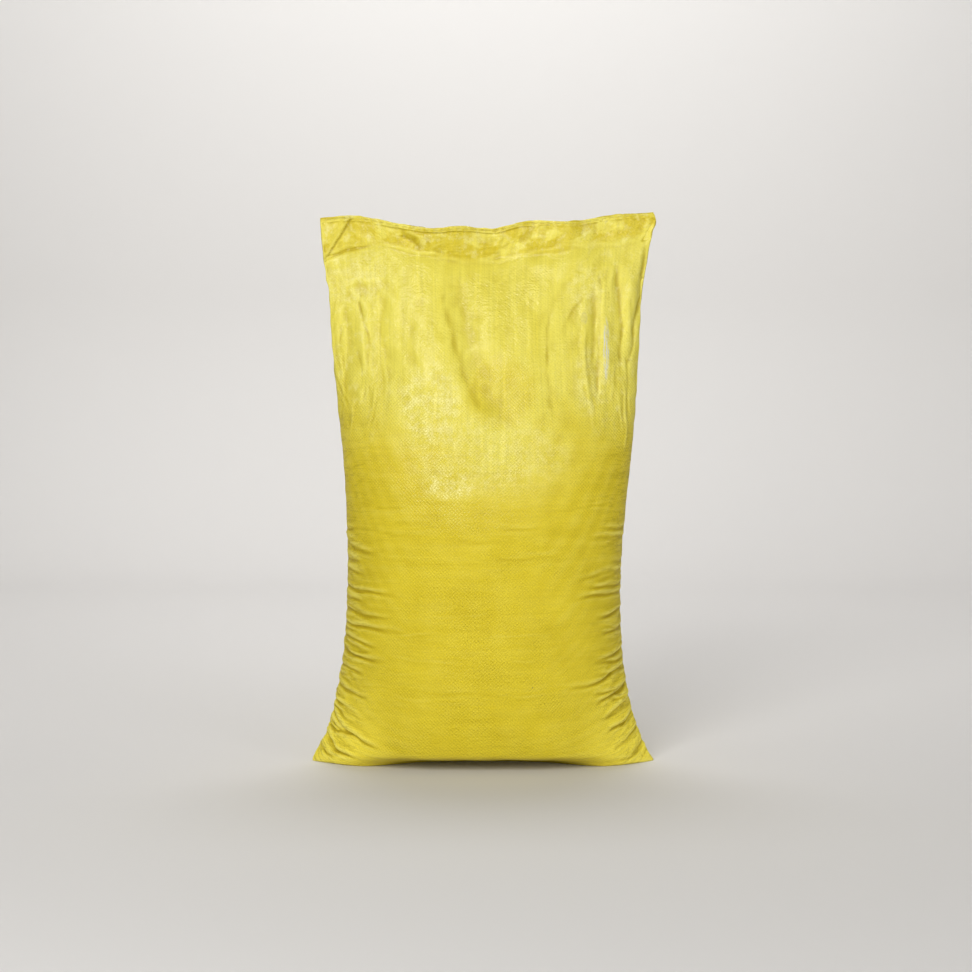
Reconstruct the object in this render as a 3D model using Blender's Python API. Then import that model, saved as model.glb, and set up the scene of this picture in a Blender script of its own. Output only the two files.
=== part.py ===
"""A filled woven sack that stands on its sewn bottom, with its empty top sewn flat.

The sack is a flat tube of cloth, 0.5 m wide, filled with powder to about 0.5 m. Where the powder makes it
thick, the tube grows narrower; at its two sewn ends it is flat and shows its full width.
Metres, +Z up, -Y is the front, +X is right as seen from the front. The origin is on the floor, at the middle.
"""

import math

import bmesh
import bpy

# The sack's outline as seen from the front: height, left edge, right edge.
OUTLINE = (
    (0.000, -0.2500, 0.2500),
    (0.016, -0.2450, 0.2420),
    (0.035, -0.2330, 0.2320),
    (0.068, -0.2210, 0.2200),
    (0.110, -0.2120, 0.2100),
    (0.173, -0.2020, 0.2020),
    (0.278, -0.1965, 0.2000),
    (0.382, -0.1985, 0.2075),
    (0.450, -0.2025, 0.2145),
    (0.520, -0.2095, 0.2205),
    (0.626, -0.2190, 0.2265),
    (0.680, -0.2215, 0.2290),
    (0.714, -0.2265, 0.2340),
    (0.734, -0.2295, 0.2375),
    (0.751, -0.2310, 0.2400),
    (0.763, -0.2320, 0.2415),
    (0.775, -0.2330, 0.2475),
    (0.790, -0.2335, 0.2480),
    (0.802, -0.2330, 0.2440),
)
# Half the thickness at the middle of the width, by height.
HALF_DEPTH = (
    (0.000, 0.0740),
    (0.006, 0.0860),
    (0.018, 0.0960),
    (0.045, 0.1060),
    (0.100, 0.1125),
    (0.180, 0.1145),
    (0.270, 0.1130),
    (0.350, 0.1080),
    (0.430, 0.0985),
    (0.500, 0.0850),
    (0.580, 0.0650),
    (0.650, 0.0440),
    (0.710, 0.0230),
    (0.745, 0.0105),
    (0.800, 0.0000),
)
# The sewn top edge sags between its corners: x, height of the edge.
TOP_EDGE = (
    (-0.240, 0.7930),
    (-0.180, 0.7965),
    (-0.115, 0.7850),
    (-0.070, 0.7795),
    (-0.030, 0.7830),
    (0.012, 0.7785),
    (0.060, 0.7890),
    (0.135, 0.7900),
    (0.190, 0.7985),
    (0.250, 0.8020),
)
# The crease under the flat top band: x, height of the crease.
CREASE = (
    (-0.240, 0.7280),
    (-0.208, 0.7430),
    (-0.145, 0.7540),
    (-0.080, 0.7390),
    (-0.010, 0.7300),
    (0.060, 0.7400),
    (0.110, 0.7420),
    (0.155, 0.7560),
    (0.250, 0.7640),
)

TOP_HEIGHT = 0.800
WEDGE_START = 0.620  # above this height, rows follow the crease and the top edge
BAND_HALF_THICKNESS = 0.0012
HEM_HALF_THICKNESS = 0.0020
HEM_WIDTH = 0.009
CREASE_DEPTH = 0.0040
BAND_LEAN = 0.42  # the band's middle tips forward by this slope
EDGE_LEAN = 0.0070  # the right side edge of the slack cloth is turned back by this much
EDGE_STRIP = 0.014  # width of the strip that is turned back
LONG_WAVE, LONG_WAVE_LENGTH = 0.0080, 0.190
SHORT_WAVE, SHORT_WAVE_LENGTH = 0.0030, 0.083

# The foot is hollow under the middle of the front: share of its depth lost there, and less at the back.
HOLLOW_FRONT, HOLLOW_BACK = 0.86, 0.30
HOLLOW_HALF_WIDTH = 0.150
HOLLOW_HEIGHT = 0.022  # above this height the hollow has gone

# Gathers: short ripples that run in from both side edges, where the cloth has length to spare.
GATHER_AMPLITUDE = 0.0023
GATHER_LOW, GATHER_HIGH = 0.012, 0.345
GATHER_REACH = 0.45  # share of the half width that a gather runs inwards
GATHER_SPACING_LOW, GATHER_SPACING_HIGH = 0.0165, 0.036

# Folds in the slack upper cloth, front and back: depth, half width at the first and the last point, and the
# points that the fold runs through, as x and height. A negative depth stands out. The last one in front is
# the low bulge where the cloth first rests on the powder.
FRONT_FOLDS = (
    (0.0085, 0.023, 0.020, ((-0.041, 0.725), (-0.030, 0.666), (-0.016, 0.595), (0.004, 0.541), (0.036, 0.51))),
    (0.0045, 0.0180, 0.0280, ((0.004, 0.600), (0.024, 0.555), (0.055, 0.525))),
    (-0.0040, 0.0200, 0.0220, ((-0.080, 0.680), (-0.080, 0.609), (-0.074, 0.524))),
    (0.0050, 0.0115, 0.0180, ((-0.147, 0.715), (-0.148, 0.636), (-0.140, 0.545))),
    (0.0040, 0.0080, 0.0080, ((-0.196, 0.680), (-0.193, 0.612), (-0.199, 0.539))),
    (-0.0035, 0.0100, 0.0100, ((0.142, 0.683), (0.143, 0.607), (0.138, 0.548))),
    (0.0060, 0.0090, 0.0090, ((0.161, 0.705), (0.158, 0.621), (0.166, 0.535))),
    (0.0050, 0.0080, 0.0080, ((0.192, 0.733), (0.196, 0.649), (0.198, 0.571))),
    (0.0020, 0.0110, 0.0110, ((0.096, 0.680), (0.092, 0.573), (0.100, 0.512))),
    (-0.0030, 0.0130, 0.0130, ((-0.085, 0.404), (-0.035, 0.400), (0.005, 0.404))),
)
BACK_FOLDS = (
    (0.0075, 0.0200, 0.0150, ((0.060, 0.725), (0.048, 0.640), (0.020, 0.560), (-0.004, 0.520))),
    (0.0055, 0.0090, 0.0090, ((-0.150, 0.730), (-0.158, 0.640), (-0.150, 0.540))),
    (0.0050, 0.0080, 0.0080, ((-0.190, 0.725), (-0.196, 0.640), (-0.193, 0.560))),
    (0.0060, 0.0100, 0.0100, ((0.165, 0.740), (0.168, 0.640), (0.160, 0.545))),
    (-0.0035, 0.0180, 0.0160, ((0.105, 0.730), (0.095, 0.640), (0.080, 0.560))),
    (0.0040, 0.0130, 0.0120, ((-0.075, 0.725), (-0.070, 0.640), (-0.085, 0.560))),
)
FOLDS_START, FOLDS_FULL = 0.34, 0.40  # folds fade out over the powder
FOLDS_FADE, FOLDS_END = 0.735, 0.765  # and again in the top band

AROUND = 72  # points round the tube
CROWDING = 0.30  # how much closer the points lie in the middle of each face than at the side edges
# Each stretch of rows: its lower and upper height, and the spacing of its rows at both.
STRETCHES = (
    (0.000, 0.345, 0.0037, 0.0105),
    (0.345, 0.620, 0.0130, 0.0190),
    (0.620, 0.745, 0.0180, 0.0120),
    (0.745, 0.789, 0.0110, 0.0110),
)
HEM_ROWS = (0.7905, 0.7925, 0.7950, 0.7985)
SEAM_ROW = 0.7950  # the row of the hem that the closing thread runs along

# The bottom hem is a fin of cloth, pressed flat into the underside, with its thread in a groove.
FIN_WIDTH = 0.014
FIN_FRONT = 0.001
FIN_END = 0.232
GROOVE_WIDTH = 0.0018
GROOVE_DEPTH = 0.0012
THREAD_RADIUS = 0.0007
THREAD_GAP = 0.0003
THREAD_CLEARANCE = 0.0002  # more room where the hem turns
THREAD_RISE = 0.0003
THREAD_GROOVE_WIDTH = 2 * (THREAD_RADIUS + 2 * THREAD_GAP)
THREAD_GROOVE_DEPTH = 2 * THREAD_RADIUS + 2 * THREAD_GAP
THREAD_Y = FIN_FRONT + 0.005
STITCH = 0.0125
SEAM_LEFT, SEAM_RIGHT = -0.215, 0.226

CLOTH_YELLOW = (0.68, 0.50, 0.035, 1.0)
THREAD_CREAM = (0.80, 0.72, 0.34, 1.0)


def through(knots, at, column=1):
    """A smooth curve through the knots, read at one place, and flat beyond the ends."""
    if at <= knots[0][0]:
        return knots[0][column]
    if at >= knots[-1][0]:
        return knots[-1][column]
    i = max(k for k in range(len(knots) - 1) if knots[k][0] <= at)

    def slope(k):
        before, after = knots[max(k - 1, 0)], knots[min(k + 1, len(knots) - 1)]
        return (after[column] - before[column]) / (after[0] - before[0])

    step = knots[i + 1][0] - knots[i][0]
    t = (at - knots[i][0]) / step
    start, end = knots[i][column], knots[i + 1][column]
    return (
        start * (1 + 2 * t) * (1 - t) ** 2
        + end * t * t * (3 - 2 * t)
        + step * t * (1 - t) * (slope(i) * (1 - t) - slope(i + 1) * t)
    )


def ease(low, high, at):
    """0 below low, 1 above high, and smooth between."""
    t = min(max((at - low) / (high - low), 0.0), 1.0)
    return t * t * (3 - 2 * t)


def row_height(nominal, x):
    """The real height of a point of this row: high rows follow the crease and the top edge."""
    if nominal <= WEDGE_START:
        return nominal
    crease, top = through(CREASE, x), through(TOP_EDGE, x)
    nominal_crease = 0.745
    if nominal <= nominal_crease:
        share = (nominal - WEDGE_START) / (nominal_crease - WEDGE_START)
        return WEDGE_START + share * (crease - WEDGE_START)
    share = (nominal - nominal_crease) / (TOP_HEIGHT - nominal_crease)
    return crease + share * (top - crease)


def turn(column):
    """How far round the tube a column of points lies, as an angle from the right edge."""
    angle = -2 * math.pi * column / AROUND
    return angle + CROWDING / 2 * math.sin(2 * angle)


def section_exponents(nominal):
    """How a level section closes at its two side edges: pointed at both ends of the sack, round between."""
    foot = 1 - ease(0.0, 0.20, nominal)
    slack = ease(0.46, 0.60, nominal)
    squareness = 2.15 + 1.1 * foot
    tip = 0.52 + 0.40 * foot + 0.40 * slack
    return squareness, tip


def gather(x, z, half_width):
    """The ripple at this point: zero in the middle of the width, and full at the side edge."""
    inward = half_width - abs(x)
    reach = GATHER_REACH * half_width
    if inward > reach:
        return 0.0
    # Low gathers fan out from the corner, and high ones lie level.
    slant = 0.08 + 0.75 * (1 - ease(0.02, 0.20, z))
    level = z + slant * inward
    grow = (GATHER_SPACING_HIGH - GATHER_SPACING_LOW) / (GATHER_HIGH - GATHER_LOW)
    turns = math.log(1 + grow * max(level, 0.0) / GATHER_SPACING_LOW) / grow
    side = 0.0 if x < 0 else 0.37
    ripple = math.sin(2 * math.pi * (turns + side))
    envelope = ease(GATHER_LOW, 0.05, z) * (1 - ease(0.16, GATHER_HIGH, z))
    return GATHER_AMPLITUDE * envelope * (1 - inward / reach) ** 1.5 * ripple


def stroke_depth(stroke, x, z):
    """How far one fold presses this point in: deepest along its line, and fading towards its two ends."""
    depth, first_width, last_width, points = stroke
    lengths = [math.dist(a, b) for a, b in zip(points, points[1:])]
    nearest, share, run = None, 0.0, 0.0
    for k, (a, b) in enumerate(zip(points, points[1:])):
        t = ((x - a[0]) * (b[0] - a[0]) + (z - a[1]) * (b[1] - a[1])) / lengths[k] ** 2
        if k > 0:
            t = max(t, 0.0)
        if k < len(lengths) - 1:
            t = min(t, 1.0)
        off = math.hypot(x - a[0] - t * (b[0] - a[0]), z - a[1] - t * (b[1] - a[1]))
        if nearest is None or off < nearest:
            nearest, share = off, (run + t * lengths[k]) / sum(lengths)
        run += lengths[k]
    width = first_width + (last_width - first_width) * min(max(share, 0.0), 1.0)
    ends = ease(-0.12, 0.12, share) * (1 - ease(0.85, 1.15, share))
    return depth * ends * math.exp(-((nearest / width) ** 2))


def fold_depth(folds, x, z):
    """How far the slack cloth is pressed in at this point by all the folds on its side."""
    here = ease(FOLDS_START, FOLDS_FULL, z) * (1 - ease(FOLDS_FADE, FOLDS_END, z))
    return here * sum(stroke_depth(stroke, x, z) for stroke in folds) if here > 0 else 0.0


def tube_point(nominal, angle):
    """The point of the sack's skin on the row of this height, this far round from its right edge."""
    left, right = through(OUTLINE, nominal, 1), through(OUTLINE, nominal, 2)
    middle, half = (left + right) / 2, (right - left) / 2
    x = middle + half * math.cos(angle)
    z = row_height(nominal, x)
    left, right = through(OUTLINE, z, 1), through(OUTLINE, z, 2)
    middle, half = (left + right) / 2, (right - left) / 2
    x = middle + half * math.cos(angle)

    front = math.sin(angle) < 0
    across = abs(math.cos(angle))
    squareness, tip = section_exponents(nominal)
    depth = through(HALF_DEPTH, nominal) * (1 - across**squareness) ** tip
    hollow = HOLLOW_FRONT if front else HOLLOW_BACK
    depth *= 1 - hollow * (1 - ease(0.0, HOLLOW_HEIGHT, z)) * math.exp(-((x / HOLLOW_HALF_WIDTH) ** 4))

    folds = FRONT_FOLDS if front else BACK_FOLDS
    depth -= fold_depth(folds, x, z) * min(1.0, depth / 0.012)
    crease = through(CREASE, x)
    near_crease = math.exp(-(((z - crease) / 0.010) ** 2))
    thick = BAND_HALF_THICKNESS
    if z > through(TOP_EDGE, x) - HEM_WIDTH:
        thick = HEM_HALF_THICKNESS
    thick *= (1 - across**8) ** 0.5 * ease(0.0, 0.25, z)
    depth = math.hypot(depth, thick)

    ripple = gather(x - middle, z, half)
    x += ripple * math.cos(angle) * 1.2
    depth += ripple * (1 - across**squareness) ** 0.5

    bend = LONG_WAVE * math.sin(2 * math.pi * x / LONG_WAVE_LENGTH + 0.9) * ease(0.60, 0.78, z)
    bend += SHORT_WAVE * math.sin(2 * math.pi * x / SHORT_WAVE_LENGTH + 2.0) * ease(0.70, 0.80, z)
    bend += CREASE_DEPTH * near_crease * math.exp(-((x / 0.19) ** 4))
    bend -= BAND_LEAN * max(z - crease, 0.0) * math.exp(-(((x + 0.03) / 0.10) ** 2))
    turned_back = 1 - ease(0.001, EDGE_STRIP, right - x)
    bend += EDGE_LEAN * turned_back * ease(0.52, 0.60, z) * (1 - ease(0.735, 0.765, z))
    return x, bend - depth if front else bend + depth, z


def row_heights():
    """The nominal height of every row, from the floor to the row just below the top edge."""
    rows = [0.0]
    for low, high, first, last in STRETCHES:
        height = low
        while True:
            height += first + (last - first) * (height - low) / (high - low)
            if height > high:
                break
            rows.append(height)
    return rows + list(HEM_ROWS)


def material(name, colour, roughness):
    made = bpy.data.materials.new(name)
    made.use_nodes = True
    shader = made.node_tree.nodes["Principled BSDF"]
    shader.inputs["Base Color"].default_value = colour
    shader.inputs["Roughness"].default_value = roughness
    shader.inputs["Metallic"].default_value = 0.0
    return made


def link(name, data, collection, finish=None):
    made = bpy.data.objects.new(name, data)
    collection.objects.link(made)
    if finish:
        data.materials.append(finish)
    return made


def build_sack(collection, finish):
    """A grid rolled into a tube: a column for each point round, a row for each height, and closed ends."""
    heights = row_heights()
    bm = bmesh.new()
    bmesh.ops.create_grid(bm, x_segments=AROUND, y_segments=len(heights), size=1.0)
    for vertex in bm.verts:
        column = round((vertex.co.x + 1) / 2 * AROUND)
        row = round((vertex.co.y + 1) / 2 * len(heights))
        if row < len(heights):
            vertex.co = tube_point(heights[row], turn(column))
        else:
            x, y, z = tube_point(TOP_HEIGHT, turn(column))
            mirrored = tube_point(TOP_HEIGHT, -turn(column))
            vertex.co = (x, (y + mirrored[1]) / 2, z)
    bmesh.ops.remove_doubles(bm, verts=bm.verts, dist=0.00001)
    rim = [edge for edge in bm.edges if edge.is_boundary]
    bmesh.ops.contextual_create(bm, geom=rim)
    bmesh.ops.recalc_face_normals(bm, faces=bm.faces)
    mesh = bpy.data.meshes.new("sack")
    bm.to_mesh(mesh)
    bm.free()
    mesh.shade_smooth()
    mesh.set_sharp_from_angle(angle=math.radians(50))
    return link("sack", mesh, collection, finish)


def groove_cutter(name, y, width, depth, collection):
    """A long thin box that cuts one groove across the underside, between the two bottom corners."""
    bm = bmesh.new()
    bmesh.ops.create_cube(bm, size=1.0)
    for vertex in bm.verts:
        vertex.co.x *= 2 * FIN_END
        vertex.co.y = vertex.co.y * width + y
        vertex.co.z *= 2 * depth
    mesh = bpy.data.meshes.new(name)
    bm.to_mesh(mesh)
    bm.free()
    made = link(name, mesh, collection)
    made.hide_render = True
    made.display_type = "WIRE"
    return made


def cut(target, cutter):
    boolean = target.modifiers.new(cutter.name, "BOOLEAN")
    boolean.operation = "DIFFERENCE"
    boolean.object = cutter


def thread(name, points, collection, finish):
    """A round thread along the points, closed at both ends."""
    curve = bpy.data.curves.new(name, "CURVE")
    curve.dimensions = "3D"
    curve.bevel_depth = THREAD_RADIUS
    curve.bevel_resolution = 1
    curve.use_fill_caps = True
    spline = curve.splines.new("POLY")
    spline.points.add(len(points) - 1)
    for place, (x, y, z) in zip(spline.points, points):
        place.co = (x, y, z, 1.0)
    return link(name, curve, collection, finish)


def top_thread_points():
    """The closing seam: it follows the hem's front face, and stands off a little more in each stitch."""
    face = [tube_point(SEAM_ROW, turn(column)) for column in range(AROUND // 2 + 1)]
    count = round((SEAM_RIGHT - SEAM_LEFT) / STITCH * 4)
    points = []
    for k in range(count + 1):
        x = SEAM_LEFT + (SEAM_RIGHT - SEAM_LEFT) * k / count
        near, far = next((a, b) for a, b in zip(face, face[1:]) if b[0] <= x <= a[0])
        slope = (far[1] - near[1]) / (far[0] - near[0])
        stand_off = (THREAD_RADIUS + THREAD_GAP) * math.hypot(1, slope)
        stand_off += THREAD_CLEARANCE + (THREAD_RISE if k % 4 == 2 else 0.0)
        y = near[1] + (x - near[0]) * slope - stand_off
        share = (x - near[0]) / (far[0] - near[0])
        points.append((x, y, near[2] + share * (far[2] - near[2])))
    return points


def bottom_thread_points(y):
    """The bottom seam, level in its groove."""
    half_run = FIN_END - 0.004
    count = 24
    z = THREAD_RADIUS + THREAD_GAP
    return [(-half_run + 2 * half_run * k / count, y, z) for k in range(count + 1)]


def main():
    for old in list(bpy.data.objects):
        bpy.data.objects.remove(old)
    parts = bpy.data.collections.new("cement_sack")
    cutters = bpy.data.collections.new("cutters")
    for made in (parts, cutters):
        bpy.context.scene.collection.children.link(made)

    cloth = material("woven_polypropylene", CLOTH_YELLOW, 0.38)
    cream = material("sewing_thread", THREAD_CREAM, 0.7)

    sack = build_sack(parts, cloth)
    cut(sack, groove_cutter("fin_front", FIN_FRONT, GROOVE_WIDTH, GROOVE_DEPTH, cutters))
    cut(sack, groove_cutter("fin_back", FIN_FRONT + FIN_WIDTH, GROOVE_WIDTH, GROOVE_DEPTH, cutters))
    cut(sack, groove_cutter("thread_seat", THREAD_Y, THREAD_GROOVE_WIDTH, THREAD_GROOVE_DEPTH, cutters))

    thread("top_thread", top_thread_points(), parts, cream)
    thread("bottom_thread", bottom_thread_points(THREAD_Y), parts, cream)


main()
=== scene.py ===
# %% [markdown]
# # A filled cement sack
# The plain solids say where the sack stands, how big it is and what it weighs. This lesson dresses them:
# a sewn tube of woven plastic tape, filled with powder below, slack above, and standing on its own foot.
# The slack cloth, the gathers at its sides and the sheen of its film are what the eye knows a sack by.

import math

import bpy
import numpy as np
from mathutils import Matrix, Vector, noise


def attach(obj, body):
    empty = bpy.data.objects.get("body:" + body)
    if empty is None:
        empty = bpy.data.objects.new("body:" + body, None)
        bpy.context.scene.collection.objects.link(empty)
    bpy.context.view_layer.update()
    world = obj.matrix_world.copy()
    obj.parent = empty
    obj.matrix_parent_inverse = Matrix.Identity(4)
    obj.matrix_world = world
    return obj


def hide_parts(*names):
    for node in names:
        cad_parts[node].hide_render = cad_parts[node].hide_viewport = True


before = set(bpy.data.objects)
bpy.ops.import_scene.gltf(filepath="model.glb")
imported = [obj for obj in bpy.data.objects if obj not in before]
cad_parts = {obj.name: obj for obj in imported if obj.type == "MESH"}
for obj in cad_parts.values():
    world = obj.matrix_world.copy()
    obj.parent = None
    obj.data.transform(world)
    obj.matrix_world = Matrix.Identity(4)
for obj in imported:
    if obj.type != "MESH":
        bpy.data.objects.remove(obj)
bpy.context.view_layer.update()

# %% [markdown]
# ## Measures
# A tube of cloth can't stretch. Where powder makes it thick it grows narrow, and where it is sewn flat it
# shows its full half metre of width. So two short tables, the outline from the front and the thickness by
# height, say most of the shape. They are written in millimetres and read in metres.

# %% Measures of the sack


def metres(*rows):
    """A table written in millimetres, in metres."""
    return np.array(rows) / 1000


OUTLINE = metres(  # height, left edge, right edge
    (0, -250, 250), (16, -245, 242), (35, -233, 232), (68, -221, 220), (110, -212, 210),
    (173, -202, 202), (278, -196.5, 200), (382, -198.5, 207.5), (450, -202.5, 214.5),
    (520, -209.5, 220.5), (626, -219, 226.5), (680, -221.5, 229), (714, -226.5, 234),
    (734, -229.5, 237.5), (751, -231, 240), (763, -232, 241.5), (775, -233, 247.5), (790, -233.5, 248),
    (802, -233, 244),
)
HALF_DEPTH = metres(  # height, half the thickness at the middle
    (0, 74), (6, 86), (18, 96), (45, 106), (100, 112.5), (180, 114.5), (270, 113), (350, 108),
    (430, 98.5), (500, 85), (580, 65), (650, 44), (710, 23), (745, 10.5), (802, 2),
)
TOP_EDGE = metres(  # x, height of the sewn top edge
    (-240, 793), (-180, 796.5), (-115, 785), (-70, 779.5), (-30, 783), (12, 778.5), (60, 789),
    (135, 790), (190, 798.5), (250, 802),
)
CREASE = metres(  # x, height of the crease below the flat top band
    (-240, 728), (-208, 743), (-145, 754), (-80, 739), (-10, 730), (60, 740), (110, 742), (155, 756),
    (250, 764),
)


def curve(knots, at, column=1):
    """A smooth curve through the knots of a table, read at any number of places at once."""
    place, value = knots[:, 0], knots[:, column]
    at = np.clip(at, place[0], place[-1])
    slope = np.gradient(value, place)
    slope[1:-1] = (value[2:] - value[:-2]) / (place[2:] - place[:-2])
    i = np.clip(np.searchsorted(place, at, side="right") - 1, 0, len(place) - 2)
    step = place[i + 1] - place[i]
    t = (at - place[i]) / step
    joined = value[i] * (1 + 2 * t) * (1 - t) ** 2 + value[i + 1] * t * t * (3 - 2 * t)
    return joined + step * t * (1 - t) * (slope[i] * (1 - t) - slope[i + 1] * t)


def ease(low, high, at):
    """0 below low, 1 above high, and smooth between."""
    t = np.clip((np.asarray(at, float) - low) / (high - low), 0, 1)
    return t * t * (3 - 2 * t)


def hump(off, half_width, power=2):
    """1 at the middle, and smoothly down to 0 about two half widths away."""
    return np.exp(-((off / half_width) ** power))


print("width at the waist:", round(float(curve(OUTLINE, 0.3, 2) - curve(OUTLINE, 0.3, 1)), 3))

# %% [markdown]
# ## The way of each thread
# A sack starts as a flat tube. Once it is filled, each lengthwise thread runs from the seam under the sack
# along the floor and then up. Level cuts through the sack show where the threads pass, because each keeps
# its share of the way round.

# %% The way of each lengthwise thread
FLAT_WIDTH = 0.5
SIDE_STRIP, SIDE_COLUMNS, MIDDLE_COLUMNS = 0.105, 24, 40  # the cloth gathers in the side strips
side_places = np.linspace(0, SIDE_STRIP, SIDE_COLUMNS + 1)
middle_places = np.linspace(SIDE_STRIP, FLAT_WIDTH - SIDE_STRIP, MIDDLE_COLUMNS + 1)[1:-1]
COLUMN_PLACES = np.concatenate([side_places, middle_places, FLAT_WIDTH - side_places[::-1]])
COLUMNS = len(COLUMN_PLACES) - 1
share = COLUMN_PLACES / FLAT_WIDTH
FLOOR_ROWS = 11
PATH_BREAKS = ((0, 0.03, 15), (0.03, 0.2, 39), (0.2, 0.8, 119))  # from, to and number of steps up a path
UNBENT, CREASE_LEVEL, TOP_LEVEL = 0.62, 0.745, 0.8  # from the first up, levels bend to the crease and edge
SIDES = (-1, 1)  # the front panel, then the back
HOLLOW = {-1: 0.86, 1: 0.30}  # the share of the foot's thickness that is hollow under its middle
HOLLOW_HALF_WIDTH, HOLLOW_HEIGHT = 0.150, 0.022


def half_depth_at(x, z):
    """Half the thickness at a place seen from the front: pointed at foot and top, round at the waist."""
    left, right = curve(OUTLINE, z, 1), curve(OUTLINE, z, 2)
    across = np.clip(np.abs((x - (left + right) / 2) / ((right - left) / 2)), 0, 1)
    foot, slack = 1 - ease(0, 0.20, z), ease(0.46, 0.60, z)
    return curve(HALF_DEPTH, z) * (1 - across ** (2.15 + 1.1 * foot)) ** (0.52 + 0.40 * foot + 0.40 * slack)


def section(z, side, places=401):
    """A level cut through one side of the sack. The foot is hollow under the middle, most of all in front."""
    left, right = curve(OUTLINE, z, 1), curve(OUTLINE, z, 2)
    x = (left + right) / 2 + (right - left) / 2 * np.cos(np.linspace(math.pi, 0, places))
    hollow = HOLLOW[side] * (1 - ease(0, HOLLOW_HEIGHT, z)) * hump(x, HOLLOW_HALF_WIDTH, 4)
    return x, half_depth_at(x, np.full(places, z)) * (1 - hollow)


def column_paths(side):
    """Where each lengthwise thread runs over the filled sack: along the floor from the seam, then up."""
    levels = [np.linspace(low, high, steps + 1)[1:] for low, high, steps in PATH_BREAKS]
    rows = []
    for z in np.concatenate([[0.0]] + levels):
        x, depth = section(z, side)
        round_it = np.concatenate([[0], np.cumsum(np.hypot(np.diff(x), np.diff(depth)))])
        at = share * round_it[-1]
        across, out = np.interp(at, round_it, x), side * np.interp(at, round_it, depth)
        rows.append(np.stack([across, out, np.full(COLUMNS + 1, z)], 1))
    rows = np.array(rows)
    x, z = rows[:, :, 0], rows[:, :, 2]
    crease, top = curve(CREASE, x), curve(TOP_EDGE, x)
    to_crease = UNBENT + (z - UNBENT) / (CREASE_LEVEL - UNBENT) * (crease - UNBENT)
    to_top = crease + (z - CREASE_LEVEL) / (TOP_LEVEL - CREASE_LEVEL) * (top - crease)
    rows[:, :, 2] = np.where(z < UNBENT, z, np.where(z < CREASE_LEVEL, to_crease, to_top))
    seam = np.stack([(share - 0.5) * FLAT_WIDTH, np.zeros(COLUMNS + 1), np.zeros(COLUMNS + 1)], 1)
    floor = np.array([seam * (1 - t) + rows[0] * t for t in np.linspace(0, 1, FLOOR_ROWS + 1)[:-1]])
    return np.concatenate([floor, rows])


paths = {side: column_paths(side) for side in SIDES}
print("threads:", COLUMNS + 1, "on each side, drawn through", len(paths[-1]), "points each")

# %% [markdown]
# ## The cut length
# The cloth was cut straight, so it is as long as its longest thread, the one up the middle. The part that
# the powder shapes and the slack part above it are measured one by one. Rows are close together where the
# cloth gathers and where it crumples, and wider between.

# %% Length and rows of the cut cloth
ROW_BREAKS = ((0.0, 0.0045), (0.37, 0.0066), (0.80, 0.0034))  # rows start here, with this height
SPLIT = 0.60  # below it the powder shapes the cloth, above it the cloth is slack


def along(points):
    """Length from the first row, down every column."""
    steps = np.linalg.norm(np.diff(points, axis=0), axis=2)
    return np.concatenate([np.zeros((1, points.shape[1])), np.cumsum(steps, axis=0)])


def length_to_split(side):
    """For each column, its length from the seam under the sack to the split."""
    risen, length = paths[side][FLOOR_ROWS:, :, 2], path_lengths[side][FLOOR_ROWS:]
    return np.array([np.interp(SPLIT, risen[:, i], length[:, i]) for i in range(COLUMNS + 1)])


path_lengths = {side: along(paths[side]) for side in SIDES}
to_split = {side: length_to_split(side) for side in SIDES}
LOWER_CUT = max(to_split[side].max() for side in SIDES)
UPPER_CUT = max((path_lengths[side][-1] - to_split[side]).max() for side in SIDES)
CUT_HEIGHT = LOWER_CUT + UPPER_CUT
row_places = [[0.0]]
for (start, height), end in zip(ROW_BREAKS, [start for start, _ in ROW_BREAKS[1:]] + [CUT_HEIGHT]):
    row_places.append(np.linspace(start, end, round((end - start) / height) + 1)[1:])
ROW_PLACES = np.concatenate(row_places)
ROWS = len(ROW_PLACES) - 1
print("cut length:", round(CUT_HEIGHT, 3), "m in", ROWS, "rows")

# %% [markdown]
# ## The cut cloth
# A flat tube is two layers, joined at both side folds. Two grids, one behind the other and merged at the
# rim, are that tube. Each small square of the grid keeps its place on the cut cloth as its UV, in metres,
# so the weave will follow every fold later on.

# %% Two grids, merged at their rims


def select_only(*pieces):
    """Selects these pieces alone, and makes the first one active."""
    bpy.ops.object.select_all(action="DESELECT")
    for piece in pieces:
        piece.select_set(True)
    if pieces:
        bpy.context.view_layer.objects.active = pieces[0]


def mesh_values(mesh, *names):
    """Points and normals of a mesh, and its named number attributes, as arrays."""
    count = len(mesh.vertices)
    points, normals = np.empty(count * 3), np.empty(count * 3)
    mesh.vertices.foreach_get("co", points)
    mesh.vertex_normals.foreach_get("vector", normals)
    values = []
    for name in names:
        values.append(np.empty(count))
        mesh.attributes[name].data.foreach_get("value", values[-1])
    return [points.reshape(-1, 3), normals.reshape(-1, 3)] + values


def move_points(mesh, points):
    mesh.vertices.foreach_set("co", points.ravel())
    mesh.update()


def store(mesh, name, values):
    """Keeps one number for each point of a mesh, under a name."""
    mesh.attributes.new(name, "FLOAT", "POINT").data.foreach_set("value", values.astype(float))


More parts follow.
